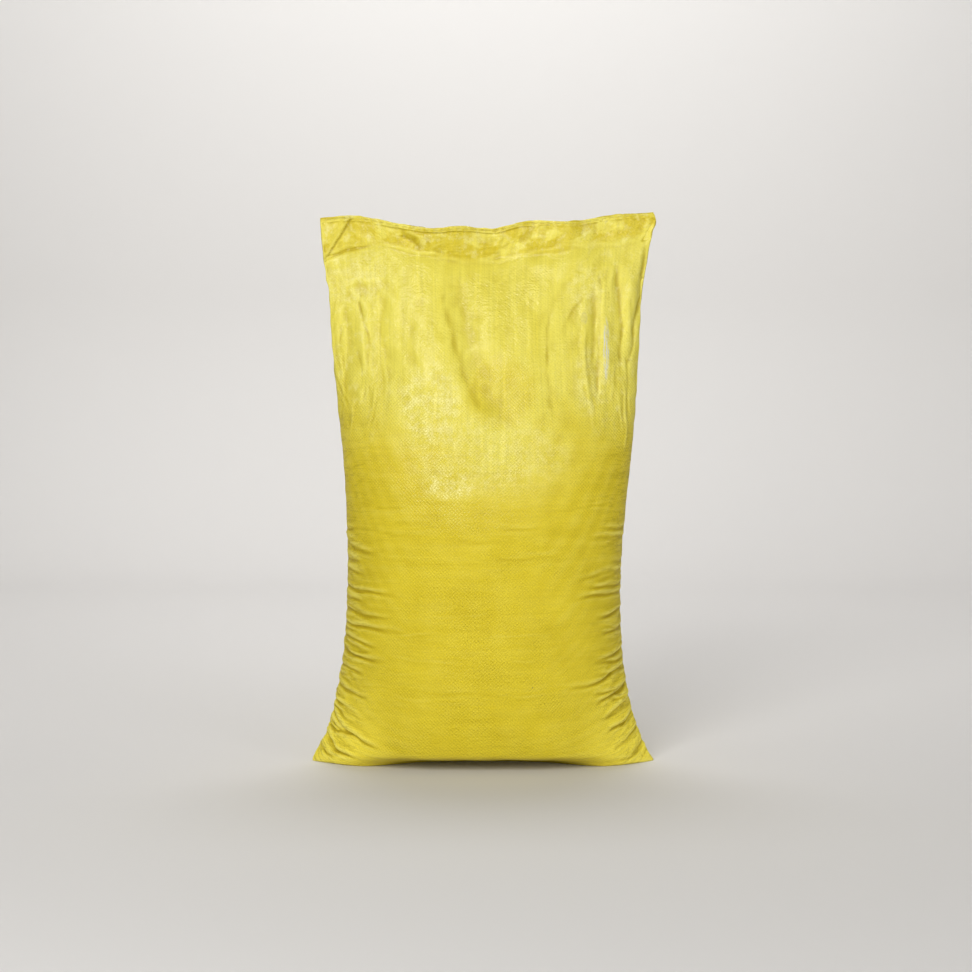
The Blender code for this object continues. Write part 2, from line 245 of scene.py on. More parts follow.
panels = []
for side in SIDES:
    select_only()
    bpy.ops.mesh.primitive_grid_add(
        x_subdivisions=COLUMNS, y_subdivisions=ROWS, size=1.0, rotation=(math.radians(90), 0, 0)
    )
    panel = bpy.context.object
    bpy.ops.object.transform_apply(location=False, rotation=True, scale=False)
    for vertex in panel.data.vertices:
        inside = abs(vertex.co.x) < 0.4999 and abs(vertex.co.z) < 0.4999
        vertex.co.y = side * 0.002 if inside else 0.0
    if side > 0:
        panel.data.flip_normals()
    panels.append(panel)
sack = panels[0]
select_only(*panels)
bpy.ops.object.join()
bpy.ops.object.mode_set(mode="EDIT")
bpy.ops.mesh.select_all(action="SELECT")
bpy.ops.mesh.remove_doubles(threshold=0.0001)
bpy.ops.object.mode_set(mode="OBJECT")
sack.name = sack.data.name = "sack_cloth"

spots = mesh_values(sack.data)[0]
column_of = np.round((spots[:, 0] + 0.5) * COLUMNS).astype(int)
row_of = np.round((spots[:, 2] + 0.5) * ROWS).astype(int)
side_of = np.where(np.abs(spots[:, 1]) < 0.001, 0, np.sign(spots[:, 1])).astype(int)
corners = np.empty(len(sack.data.loops), int)
sack.data.loops.foreach_get("vertex_index", corners)
on_cloth = np.stack([COLUMN_PLACES[column_of[corners]], ROW_PLACES[row_of[corners]]], 1)
sack.data.uv_layers[0].name = "cut_cloth"
sack.data.uv_layers[0].data.foreach_set("uv", on_cloth.ravel())
for name, values in (("side", side_of), ("column", column_of), ("row", row_of)):
    store(sack.data, name, values)
print("cut cloth:", len(panels), "layers,", FLAT_WIDTH, "m wide,", len(spots), "points")

# %% [markdown]
# ## Folds and gathers
# The seam under the sack, its round belly and the flat top make the front's middle line nearly 90 mm longer
# than the side folds. All that spare length lies at the sides, as short gathers. Above the powder the tube
# is wider than it needs to be, so it falls in long soft folds. Both kinds are written as strokes: a line on
# the cloth, a depth and a width, as a thumb would press them.

# %% Strokes on the cloth


def strokes_of(*rows):
    """Strokes from rows in millimetres: depth, half width at both ends, then points as x and height."""
    return [(depth / 1000, first / 1000, last / 1000, metres(*line)) for depth, first, last, *line in rows]


FRONT_FOLDS = strokes_of(  # a negative depth stands out
    (9.5, 21, 18, (-41, 725), (-30, 666), (-16, 595), (4, 541), (36, 510)),
    (2, 9, 10, (-48, 666), (-36, 609), (-22, 564), (-2, 527), (25, 510)),
    (-4, 20, 22, (-80, 680), (-80, 609), (-74, 524)),
    (5, 11, 18, (-147, 715), (-148, 636), (-140, 545)),
    (-3, 6, 5, (-174, 649), (-170, 575)),
    (4, 7, 6, (-196, 680), (-193, 612), (-199, 539)),
    (-2, 4, 4, (-212, 572), (-190, 516)),
    (-4, 8, 7, (145, 683), (147, 607), (142, 548)),
    (5, 6.8, 6, (161, 705), (158, 621), (166, 535)),
    (-3, 5, 5, (174, 700), (179, 556)),
    (3.6, 5, 5, (192, 733), (196, 649), (198, 571)),
    (-3, 6, 5, (212, 721), (211, 622)),
    (4.2, 4, 4, (231, 750), (228, 703), (215, 619), (209, 587)),
    (1.4, 10, 9, (96, 680), (92, 573), (100, 512)),
    (1.3, 8, 7, (148, 685), (123, 644)),
    (-3, 13, 13, (-85, 404), (-35, 400), (5, 404)),
    (4.5, 18, 28, (4, 600), (24, 555), (55, 525)),
)
BACK_FOLDS = strokes_of(
    (7.5, 20, 13, (60, 725), (48, 640), (20, 560), (-4, 520)),
    (6, 8, 7, (-150, 730), (-158, 640), (-150, 540)),
    (6, 6, 6, (-190, 725), (-196, 640), (-193, 560)),
    (6.5, 9, 8, (165, 740), (168, 640), (160, 545)),
    (5, 6, 5, (205, 745), (203, 640), (198, 570)),
    (-3.5, 18, 16, (105, 730), (95, 640), (80, 560)),
    (4, 13, 12, (-75, 725), (-70, 640), (-85, 560)),
)
LEFT_GATHERS = metres(  # height at the side fold, reach along the cloth, height at the inner end, depth
    (330, 35, 328, 1.5), (303, 40, 300, 2.5), (262, 85, 256, 3), (229, 80, 222, 3.5),
    (209, 95, 203, 3.5), (192, 65, 181, 4), (169, 50, 162, 4), (148, 50, 138, 4), (120, 55, 103, 4.5),
    (96, 50, 80, 3.5), (78, 80, 34, 5), (46, 50, 16, 3.5),
)
RIGHT_GATHERS = metres(
    (333, 50, 326, 2), (285, 35, 281, 2), (253, 90, 251, 3), (226, 55, 222, 3.5), (204, 50, 196, 3.5),
    (172, 60, 158, 3.5), (150, 90, 120, 4.5), (122, 60, 96, 4), (100, 50, 78, 3.5), (76, 50, 54, 4),
    (55, 45, 30, 3.5), (32, 35, 16, 3),
)
GATHER_HALF_WIDTH, GATHER_WIDENING = 0.0036, 0.022  # at the fold, and how much wider for each metre inward
FAR = 9.0  # further than any stroke reaches


def wandering(x, z):
    """Cloth never folds along a ruler: every line wanders by about two millimetres."""
    sideways = 0.0013 * np.sin(52 * z + 140 * x) + 0.0007 * np.sin(121 * z - 210 * x + 1.0)
    upwards = 0.0014 * np.sin(49 * x - 130 * z + 2.0) + 0.0007 * np.sin(117 * x + 230 * z)
    return x + sideways, z + upwards


def pressed(strokes, x, z):
    """How deep the strokes press the cloth at each place."""
    x, z = wandering(x, z)
    total = np.zeros_like(x)
    for depth, first_width, last_width, points in strokes:
        steps = np.diff(points, axis=0)
        lengths = np.hypot(steps[:, 0], steps[:, 1])
        starts = np.concatenate([[0], np.cumsum(lengths)])
        nearest, place = np.full(x.shape, FAR), np.zeros_like(x)
        for k, step in enumerate(steps):
            t = ((x - points[k][0]) * step[0] + (z - points[k][1]) * step[1]) / lengths[k] ** 2
            t = np.clip(t, -FAR if k == 0 else 0, FAR if k == len(steps) - 1 else 1)
            off = np.hypot(x - points[k][0] - t * step[0], z - points[k][1] - t * step[1])
            closer = off < nearest
            nearest = np.where(closer, off, nearest)
            place = np.where(closer, (starts[k] + t * lengths[k]) / starts[-1], place)
        width = first_width + (last_width - first_width) * np.clip(place, 0, 1)
        ends = ease(-0.12, 0.24, place) * (1 - ease(0.74, 1.15, place))
        total += depth * hump(nearest, width) * ends
    return total


def gathered(gathers, inward, z):
    """How deep the gathers of one side fold press the cloth, by the distance inward from the fold."""
    total = np.zeros_like(z)
    for fold_height, reach, inner_height, depth in gathers:
        level = fold_height + (inner_height - fold_height) * np.clip(inward / reach, 0, 2)
        across = hump(z - level, GATHER_HALF_WIDTH + GATHER_WIDENING * inward)
        total += 0.8 * depth * across * (1 - ease(0.45, 1.2, inward / reach))
    return total


print(len(FRONT_FOLDS), "folds in front,", len(LEFT_GATHERS) + len(RIGHT_GATHERS), "gathers")

# %% [markdown]
# ## What shapes a panel
# The strokes press in, the powder makes soft lumps, and the flat top band waves and leans forward over the
# crease below it. All of it is added to a smooth panel by one function.

# %% Folds, lumps and the leaning band
WAVES = ((0.008, 0.19, 0.9, 0.60, 0.78), (0.003, 0.083, 2.0, 0.70, 0.80))  # depth, length, start, from, to
LEAN, LEAN_MIDDLE, LEAN_HALF_WIDTH = 0.42, -0.03, 0.10
CREASE_DEPTH, CREASE_HALF_HEIGHT, CREASE_HALF_WIDTH = 0.004, 0.010, 0.19
LUMP_DEPTH = 0.0030
FOLD_LEAN = 0.007  # the right side fold of the slack top is turned back by this much


def lumps(x, z, side, across, up):
    """Soft unevenness, the same at each run."""
    places = zip(x.ravel(), z.ravel())
    values = [noise.noise(Vector((a * across + side * 5, b * up, side * 3))) for a, b in places]
    return np.array(values).reshape(x.shape)


def outward(points, side):
    """The direction away from the powder at each point of a panel."""
    normal = np.cross(np.gradient(points, axis=1), np.gradient(points, axis=0))
    return -side * normal / (np.linalg.norm(normal, axis=2, keepdims=True) + 1e-9)


def dressed(points, side):
    """A smooth panel with its gathers, folds, lumps and leaning band."""
    x, z = points[:, :, 0].copy(), points[:, :, 2].copy()
    from_left = COLUMN_PLACES[None, :] + 0 * z
    from_right = FLAT_WIDTH - from_left
    shift = 0.0 if side < 0 else 0.004  # the gathers don't meet exactly at the side folds
    gathers = gathered(LEFT_GATHERS, from_left, z + shift) + gathered(RIGHT_GATHERS, from_right, z - shift)
    below_crease = 1 - ease(0.735, 0.765, z)
    folds = pressed(FRONT_FOLDS if side < 0 else BACK_FOLDS, x, z) * ease(0.34, 0.40, z) * below_crease
    points = points - outward(points, side) * gathers[:, :, None]
    swell = LUMP_DEPTH * lumps(x, z, side, 13, 16) * ease(0.03, 0.1, z) * (1 - ease(0.70, 0.76, z))
    points[:, :, 1] += side * (swell - folds)
    for depth, length, start, low, high in WAVES:
        points[:, :, 1] += depth * np.sin(2 * math.pi * x / length + start) * ease(low, high, z)
    crease = curve(CREASE, x)
    points[:, :, 1] += CREASE_DEPTH * hump(z - crease, CREASE_HALF_HEIGHT) * hump(x, CREASE_HALF_WIDTH, 4)
    points[:, :, 1] -= LEAN * np.maximum(z - crease, 0) * hump(x - LEAN_MIDDLE, LEAN_HALF_WIDTH)
    right_strip = 1 - ease(0.001, 0.014, from_right)
    points[:, :, 1] += FOLD_LEAN * right_strip * ease(0.52, 0.60, z) * below_crease
    return points


band_height = curve(TOP_EDGE, LEAN_MIDDLE) - curve(CREASE, LEAN_MIDDLE)
print("the band leans forward by up to", round(float(LEAN * band_height), 4), "m")

# %% [markdown]
# ## The filled shape
# Each lengthwise thread is laid along its way, with its spare length given to the gathers near the foot.
# That is the shape to fill. The flat shape to start from gets the same threads, laid out side by side.

# %% Lay the cut cloth over the filled shape
SPARE_KEPT = 0.5  # the part of the spare length that the simulation may gather; strokes take up the rest
WIDTH_KEPT = 0.5  # and the same for the spare width of the slack top
below = np.minimum(ROW_PLACES, LOWER_CUT)
above = np.maximum(ROW_PLACES - LOWER_CUT, 0) / UPPER_CUT
spare_taken = 0.62 * ease(0.0, 0.17, below) + 0.38 * ease(0.1, 0.46, below)
filled, cut = {}, {}
for side in SIDES:
    laid = np.zeros((ROWS + 1, COLUMNS + 1, 3))
    for i in range(COLUMNS + 1):
        spare = LOWER_CUT - to_split[side][i]
        at = below - spare * spare_taken + above * (path_lengths[side][-1, i] - to_split[side][i])
        for axis in range(3):
            laid[:, i, axis] = np.interp(at, path_lengths[side][:, i], paths[side][:, i, axis])
    filled[side] = dressed(laid, side)
    own = along(filled[side])
    own_split = np.array([np.interp(LOWER_CUT, ROW_PLACES, own[:, i]) for i in range(COLUMNS + 1)])
    lower = SPARE_KEPT * below[:, None] + (1 - SPARE_KEPT) * np.minimum(own, own_split)
    up = lower + np.maximum(own - own_split, 0) * (ROW_PLACES[:, None] > LOWER_CUT)
    steps = np.linalg.norm(np.diff(filled[side], axis=1), axis=2).sum(axis=1)
    width = steps + WIDTH_KEPT * (FLAT_WIDTH - steps)
    out = (share - 0.5)[None, :] * width[:, None]
    cut[side] = np.stack([out, 0 * out, up], 2)
for i in (0, COLUMNS):
    filled[-1][:, i] = filled[1][:, i] = (filled[-1][:, i] + filled[1][:, i]) / 2
    cut[1][:, i] = cut[-1][:, i]
filled[-1][-1] = filled[1][-1] = (filled[-1][-1] + filled[1][-1]) / 2
filled[1][0] = filled[-1][0]
pick = np.where(side_of > 0, 1, 0)


def by_point(grids):
    """The values of both panels' grids, in the order of the mesh's points."""
    return np.stack([grids[-1], grids[1]])[pick, row_of, column_of]


filled_spots, cut_spots = by_point(filled), by_point(cut)
roundness = 1 - np.abs(2 * share[column_of] - 1) ** 8
inner = (row_of > 0) & (row_of < ROWS)
cut_spots[:, 1] = side_of * 0.004 * roundness * inner
print("filled box:", filled_spots.min(0).round(3), filled_spots.max(0).round(3))

# %% [markdown]
# ## Cloth simulation
# Strokes alone look pressed by a thumb. So the flat cloth is blown up towards the filled shape by Blender's
# cloth, which keeps every thread at its cut length. Weak springs, set by a vertex group, hold it near the
# shape: firm at the seams and the foot, soft in the slack part. What length is left over buckles by itself.

# %% Let the cloth settle
FRAMES, INFLATE_FRAMES = 30, 12
FURTHEST = 0.010  # no point may settle further than this from the filled shape
KEPT_LOW, KEPT_HIGH = 0.20, 0.12  # how much of the settling shows, over the powder and in the slack top
CLOTH_SETTINGS = {
    "quality": 6,
    "mass": 0.1,
    "air_damping": 2.0,
    "bending_model": "ANGULAR",
    "tension_stiffness": 30.0,
    "compression_stiffness": 30.0,
    "shear_stiffness": 10.0,
    "bending_stiffness": 0.15,
    "vertex_group_mass": "holding",
    "pin_stiffness": 2.0,
    "use_pressure": True,
    "uniform_pressure_force": 1.0,
    "vertex_group_pressure": "powder",
}
HELD, HELD_MORE = 0.3, 0.1  # how firmly the springs hold the slack cloth, and how much more over powder
HELD_IN_BAND, HELD_LOW_AT_SIDES, HELD_ON_FLOOR, HELD_IN_SEAMS = 0.25, 0.8, 0.9, 1.0
across_width = np.abs(2 * share[column_of] - 1)
height_now = filled_spots[:, 2]
in_fill = 1 - ease(0.42, 0.54, height_now)
hold = HELD + HELD_MORE * in_fill
hold += (HELD - hold) * ease(0.45, 0.95, across_width) * in_fill
hold += (HELD_IN_BAND - hold) * ease(-0.02, 0.012, height_now - curve(CREASE, filled_spots[:, 0]))
low_at_sides = HELD_LOW_AT_SIDES * ease(0.6, 0.95, across_width) * (1 - ease(0.06, 0.20, height_now))
hold = np.maximum(hold, low_at_sides)
hold = np.where(height_now < 0.004, np.maximum(hold, HELD_ON_FLOOR), hold)
hold = np.where((row_of <= 1) | (row_of >= ROWS - 2), HELD_IN_SEAMS, hold)


def settled_cloth():
    """Blows the cut cloth up to the filled shape, lets it settle, and reads where its points came to lie."""
    move_points(sack.data, cut_spots)
    select_only(sack)
    bpy.ops.object.shape_key_add(from_mix=False)
    bpy.ops.object.shape_key_add(from_mix=False)
    blown_up = sack.data.shape_keys.key_blocks[1]
    blown_up.data.foreach_set("co", filled_spots.ravel())
    holding = sack.vertex_groups.new(name="holding")
    powder = sack.vertex_groups.new(name="powder")
    for index, (firm, full) in enumerate(zip(hold, in_fill)):
        holding.add([index], float(firm), "REPLACE")
        powder.add([index], float(full), "REPLACE")
    bpy.ops.object.modifier_add(type="CLOTH")
    settling = sack.modifiers[-1]
    for name, value in CLOTH_SETTINGS.items():
        setattr(settling.settings, name, value)
    settling.settings.effector_weights.gravity = 0
    settling.collision_settings.use_self_collision = False
    settling.collision_settings.use_collision = False
    settling.point_cache.frame_start = 1
    settling.point_cache.frame_end = FRAMES
    for step in range(1, INFLATE_FRAMES + 1):
        blown_up.value = float(ease(1, INFLATE_FRAMES, step))
        blown_up.keyframe_insert("value", frame=step)
    for step in range(1, FRAMES + 1):
        bpy.context.scene.frame_set(step)
    seen = sack.evaluated_get(bpy.context.evaluated_depsgraph_get()).data
    came_to = mesh_values(seen)[0]
    sack.modifiers.clear()
    sack.shape_key_clear()
    sack.vertex_groups.clear()
    bpy.context.scene.frame_set(1)
    return came_to


moved = settled_cloth() - filled_spots
far = np.linalg.norm(moved, axis=1, keepdims=True)
kept = (KEPT_LOW + (KEPT_HIGH - KEPT_LOW) * ease(0.46, 0.56, height_now))[:, None]
settled = filled_spots + moved * kept * np.minimum(1, FURTHEST / np.maximum(far * kept, 1e-9))
print("settled: middle move", round(float(np.median(far)), 4), "largest", round(float(far.max()), 4))

# %% [markdown]
# ## Trim the outline and the foot
# The side folds may wander a little as they gather, but a full sack's outline stays nearly even. Each row
# is slid sideways by part of that wander. The foot is flattened on the floor, and the two layers of the
# slack top are kept a cloth's thickness apart.

# %% Trim
KEPT_WANDER = 0.45
LAYER_GAP = 0.0016
panel_points = {}
for side in SIDES:
    grid = np.zeros((ROWS + 1, COLUMNS + 1, 3))
    mine = (side_of == side) | (side_of == 0)
    grid[row_of[mine], column_of[mine]] = settled[mine]
    for edge, table_column in ((0, 1), (COLUMNS, 2)):
        wander = grid[:, edge, 0] - curve(OUTLINE, grid[:, edge, 2], table_column)
        wander *= ease(0.02, 0.06, grid[:, edge, 2]) * (1 - ease(0.72, 0.76, grid[:, edge, 2]))
        inward = np.abs(COLUMN_PLACES - COLUMN_PLACES[edge])
        grid[:, :, 0] -= (1 - KEPT_WANDER) * wander[:, None] * (1 - ease(0.0, 0.09, inward))[None, :]
    panel_points[side] = grid
gap = panel_points[1][:, :, 1] - panel_points[-1][:, :, 1]
inside = np.minimum(1, np.minimum(np.arange(COLUMNS + 1), COLUMNS - np.arange(COLUMNS + 1)) / 3)[None, :]
short = np.maximum(LAYER_GAP * inside - gap, 0) * ease(0.02, 0.06, panel_points[1][:, :, 2])
for side in SIDES:
    panel_points[side][:, :, 1] += side * short / 2
    panel_points[side][:, :, 2] = np.maximum(panel_points[side][:, :, 2], 0.0)
settled = by_point(panel_points)
move_points(sack.data, settled)
print("outline:", settled.min(0).round(4), settled.max(0).round(4))

# %% [markdown]
# ## Finer cloth
# One Subdivision Surface step rounds the small squares off, and leaves points that are close enough for
# marks of a few millimetres.

# %% Subdivide
subdivision = sack.modifiers.new("finer", "SUBSURF")
subdivision.levels = subdivision.render_levels = 1
select_only(sack)
bpy.ops.object.modifier_apply(modifier="finer")
print("finer mesh:", len(sack.data.vertices), "points")

# %% [markdown]
# ## Creases and pinches
# A coated cloth keeps each crease once it was folded. Those on the front are written one by one. Too many
# to write are the short pinched lines that run in from both side folds, the lines that hang beside them in
# the slack top, and the faint level ones on the belly. So small functions draw them, from a fixed seed.

# %% Lines of a few millimetres
FRONT_CREASES = strokes_of(
    (1.3, 2.4, 2, (-183, 685), (-173, 649), (-161, 611)),
    (1.2, 2.2, 2, (-212, 566), (-201, 539), (-190, 516)),
    (0.5, 2.4, 2.2, (96, 663), (92, 616), (90, 573), (99, 513)),
    (-1.2, 2, 2, (201, 573), (203, 518), (205, 461)),
    (0.5, 2.2, 2.2, (205, 586), (221, 588)),
    (1, 2.2, 2, (193, 714), (198, 634), (198, 579)),
    (1.6, 2.2, 2, (231, 747), (228, 703), (215, 619), (209, 587)),
    (0.4, 2.6, 2.6, (145, 683), (132, 665), (121, 645)),
    (0.9, 6, 6, (-61, 697), (-49, 652), (-35, 598), (-19, 550), (4, 516)),
    (1, 2.2, 2.2, (167, 635), (164, 578), (169, 535)),
    (0.4, 5, 5, (-77, 432), (-41, 428), (-4, 431)),
    (0.3, 5, 5, (-73, 410), (-33, 407), (13, 412)),
    (0.2, 3, 3, (-150, 309), (-50, 303), (60, 303), (150, 312)),
    (0.2, 3, 3, (-120, 190), (-20, 183), (90, 186), (150, 196)),
    (0.2, 3, 3, (-150, 128), (-60, 117), (50, 117), (140, 126)),
)
PINCH_COUNT, PINCH_TOP = 46, 0.35  # short pinched lines at each side fold of each panel, up to this height
HANGING_COUNT, LEVEL_COUNT = 22, 60
LIP_HEIGHT = 0.0055


def pinches(seed, deepening):
    """Short pinched lines for one side fold, as x inward and height: a few strong among many faint."""
    random = np.random.default_rng(seed)
    strokes = []
    for z in np.sort(random.uniform(0.016, PINCH_TOP, PINCH_COUNT)):
        strong = random.random() ** 2.5
        foot = math.exp(-z / 0.09)
        reach = 0.016 + 0.070 * strong + random.uniform(0.0, 0.022)
        drop = reach * (0.62 * foot + random.uniform(-0.10, 0.14))
        bow = random.uniform(-0.0025, 0.0025)
        depth = deepening * (0.0007 + 0.0025 * strong) * (1.15 - 0.75 * z / PINCH_TOP)
        width = 0.0020 + 0.0009 * strong
        line = ((-0.004, z + 0.001), (reach * 0.45, z - drop * 0.5 + bow), (reach, z - drop))
        strokes.append((depth, width, 1.3 * width, line))
    return strokes


def hanging_lines(seed):
    """Short upright lines near one side fold of the slack top, pressed in or standing out."""
    random = np.random.default_rng(seed)
    inwards = random.uniform(0.004, 0.095, HANGING_COUNT)
    strokes = []
    for inward, z in zip(inwards, random.uniform(0.49, 0.69, HANGING_COUNT)):
        half = random.uniform(0.014, 0.050)
        lean = random.uniform(-0.22, 0.22) * half
        bow = random.uniform(-0.002, 0.002)
        line = ((inward - lean, z + half), (inward + bow, z), (inward + lean, z - half))
        strokes.append((random.uniform(-0.0010, 0.0012), 0.0028, 0.0026, line))
    return strokes


def level_lines(seed):
    """Short, faint, nearly level lines on the full belly, as x and height."""
    random = np.random.default_rng(seed)
    across = random.uniform(-0.17, 0.17, LEVEL_COUNT)
    strokes = []
    for x, z in zip(across, random.uniform(0.10, 0.47, LEVEL_COUNT)):
        half = random.uniform(0.015, 0.055)
        tilt = random.uniform(-0.003, 0.003)
        bow = random.uniform(-0.002, 0.002)
        line = ((x - half, z - tilt), (x, z + bow), (x + half, z + tilt))
        strokes.append((random.uniform(-0.0003, 0.0004), 0.0022, 0.0026, line))
    return strokes


def sharp(gathers):
    """The long gathers again, as narrow lines along their bottoms."""
    strokes = []
    for high, reach, low, depth in gathers:
        line = ((-0.004, high), (0.8 * reach, high + 0.75 * (low - high)), (1.3 * reach, low))
        strokes.append((0.7 * depth, 0.0023, 0.0034, line))
    return strokes


def with_lip(strokes, x, z):
    """Each line pressed in, with the cloth that it takes up standing as a soft lip just above it."""
    wide = [(0.6 * depth, 1.9 * first, 1.9 * last, line) for depth, first, last, line in strokes]
    return pressed(strokes, x, z) - pressed(wide, x, z - LIP_HEIGHT)


lines_of_sides = 2 * (len(LEFT_GATHERS) + len(RIGHT_GATHERS)) + 4 * (PINCH_COUNT + HANGING_COUNT)
print("lines:", len(FRONT_CREASES), "creases,", lines_of_sides, "at the sides,", 2 * LEVEL_COUNT, "level")

# %% [markdown]
# ## Press the lines in
# Each line is pressed into the panel that it lies on, and no line is equally deep all along.

# %% Press the lines in
points, normals, sides, column, row = mesh_values(sack.data, "side", "column", "row")
x, z = points[:, 0], points[:, 2]
u = np.interp(column, np.arange(COLUMNS + 1), COLUMN_PLACES)
v = np.interp(row, np.arange(ROWS + 1), ROW_PLACES)
is_front, is_back = sides < -0.01, sides > 0.01
crease_depth = np.zeros(len(points))
crease_depth[is_front] = pressed(FRONT_CREASES, x[is_front], z[is_front])
for panel, seed in ((is_front, 21), (is_back, 22)):
    belly = panel & (z > 0.08) & (z < 0.50)
    crease_depth[belly] += pressed(level_lines(seed), x[belly], z[belly])
folds_of_sides = ((u, LEFT_GATHERS, 0, 1.4), (FLAT_WIDTH - u, RIGHT_GATHERS, 40, 1.0))
for panel, seed in ((is_front, 11), (is_back, 12)):
    for inward, table, add_seed, deepening in folds_of_sides:
        near = panel & (inward < 0.16) & (z < 0.42)
        strokes = pinches(seed + add_seed, deepening) + sharp(table)
        crease_depth[near] += with_lip(strokes, inward[near], z[near]) * ease(-0.02, 0.02, inward[near])
        hangs = panel & (inward < 0.12) & (z > 0.42) & (z < 0.73)
        hung = pressed(hanging_lines(seed + add_seed), inward[hangs], z[hangs])
        crease_depth[hangs] += hung * ease(0.45, 0.53, z[hangs])
no_line_is_even = np.sin(83 * z + 61 * x + 0.7) * np.sin(47 * x - 71 * z)
crease_depth *= 1 + 0.40 * no_line_is_even
print("deepest mark", round(float(crease_depth.max()), 4), "m")

# %% [markdown]
# ## Unevenness, side folds and ears
# Cloth over powder is finely uneven, and the film crinkles near the upper corners. After that the side
# folds are slid back onto the outline, and the bottom corners become small flat ears.

# %% Unevenness, side folds and ears
CRINKLED_CORNERS = ((-0.195, 0.050, 1.0), (0.200, 0.045, 0.6))  # x, half width and amount, near the top
CRINKLE_LEVEL, CRINKLE_HALF_HEIGHT = 0.705, 0.032
TIP_HALF_WIDTH, TIP_REACH, TIP_DROP = 0.016, 0.0036, 0.0022
WIDEST = 0.2502


def uneven_field(across, up, seed):
    """Soft noise on the cut cloth, as one value a point."""
    places = zip(u, v, sides)
    return np.array([noise.noise(Vector((a * across, b * up, c * 2.0 + seed))) for a, b, c in places])


fine_lumps = uneven_field(9.0, 60.0, 9.0)  # over powder the unevenness lies level, like the weft
soft_lumps = uneven_field(30.0, 34.0, 4.0)
facets = 0.25 - np.abs(uneven_field(38.0, 30.0, 31.0))  # sharp ridges between soft dents, as in crinkled film
crinkled_corner = sum(amount * hump(x - middle, wide) for middle, wide, amount in CRINKLED_CORNERS)
crinkled_corner = crinkled_corner * hump(z - CRINKLE_LEVEL, CRINKLE_HALF_HEIGHT)
upper = ease(0.44, 0.56, z)
uneven = 0.0006 * fine_lumps * (1 - upper) + (0.0008 + 0.0006 * upper) * soft_lumps
uneven += facets * (0.0012 * upper + 0.0050 * crinkled_corner)
points -= normals * ((crease_depth - uneven) * ease(0.004, 0.016, z))[:, None]
for fold_column, table_column, inward, past in ((0, 1, u, -0.0004), (COLUMNS, 2, FLAT_WIDTH - u, 0.0004)):
    edge = np.flatnonzero((np.abs(column - fold_column) < 0.1) & (z > 0.02))
    edge = edge[np.argsort(row[edge])]
    off = curve(OUTLINE, points[edge, 2], table_column) - points[edge, 0]
    off = np.convolve(np.pad(off, 9, mode="edge"), np.full(19, 1 / 19), mode="valid")
    slide = np.interp(row, row[edge], off) + past
    points[:, 0] += slide * (1 - ease(0.0, 0.06, inward)) * ease(0.015, 0.03, z)
tips = hump(FLAT_WIDTH / 2 - np.abs(x), TIP_HALF_WIDTH) * (1 - ease(0.004, 0.020, z))
points[:, 0] = np.clip(points[:, 0] + np.sign(x) * TIP_REACH * tips, -WIDEST, WIDEST)
points[:, 2] = np.maximum(points[:, 2] - TIP_DROP * tips, 0)
move_points(sack.data, points)
print("unevenness:", uneven.min().round(4), "to", uneven.max().round(4), "m")

# %% [markdown]
# ## The crumpled band
# Between the hem and the crease below it the cloth holds nothing, so it is crumpled by the hands that
# folded it and the machine that sewed it. The larger marks are strokes again, and noise makes the rest.

# %% Crumples of the band
BAND_STROKES = strokes_of(
    (-3.5, 3.5, 4, (-113, 776), (-88.7, 764.5), (-81.4, 751.5)),
    (3.5, 4, 4.5, (-122, 768), (-98, 757), (-90, 748)),
    (-2.2, 3, 3, (-147, 754.5), (-110, 748), (-55, 739)),
    (5, 3.6, 2.8, (-236, 731), (-218, 738.5), (-200, 746), (-168, 752)),
    (-1.2, 3.4, 3.4, (-75, 736.5), (-30, 731.5), (20, 732), (60, 740)),
    (-1.4, 3.4, 3.4, (70, 743), (140, 753), (225, 761)),
    (0.9, 4.5, 4.5, (161, 790), (161, 768)),
    (0.9, 4, 4, (192, 792), (194, 766)),
    (6.6, 2.8, 2.6, (248, 785), (242, 776), (236, 767), (231, 760)),
    (-3.4, 6, 6, (240, 792), (231, 776)),
)
points, _, sides, column, row = mesh_values(sack.data, "side", "column", "row")
x, z = points[:, 0].copy(), points[:, 2].copy()
front, front_ness = sides < -0.01, np.clip(-sides, 0, 1)
rows_down = ROWS - row
crease = curve(CREASE, x)
in_band = ease(-0.004, 0.010, z - crease)
crumple = uneven_field(24.0, 34.0, 7.0)
dents = 0.2 - np.abs(uneven_field(30.0, 42.0, 12.0))
small_crumple = uneven_field(75.0, 95.0, 3.0)
crumple_here = 0.5 + 0.5 * hump(x - 0.045, 0.07) + 0.3 * hump(x + 0.10, 0.03)
band_move = in_band * crumple_here * (0.0040 * crumple - 0.0050 * dents + 0.0006 * small_crumple)
points[:, 1] += band_move * (1 - 0.4 * (rows_down < 1))
stroke_depth = np.zeros(len(points))
stroke_depth[front] = pressed(BAND_STROKES, x[front], z[front])
points[:, 1] += stroke_depth * front_ness
print("band:", int((in_band > 0.5).sum()), "points, moved by up to", round(np.abs(band_move).max(), 4), "m")

# %% [markdown]
# ## The sewn top
# The mouth was folded over once to the front and sewn through: a strip about 9 mm tall that stands a little
# proud, lumpy where each stitch pulls it in. At the left the corner was folded in and pressed flat, and at
# the right it stands free as a small round lobe.

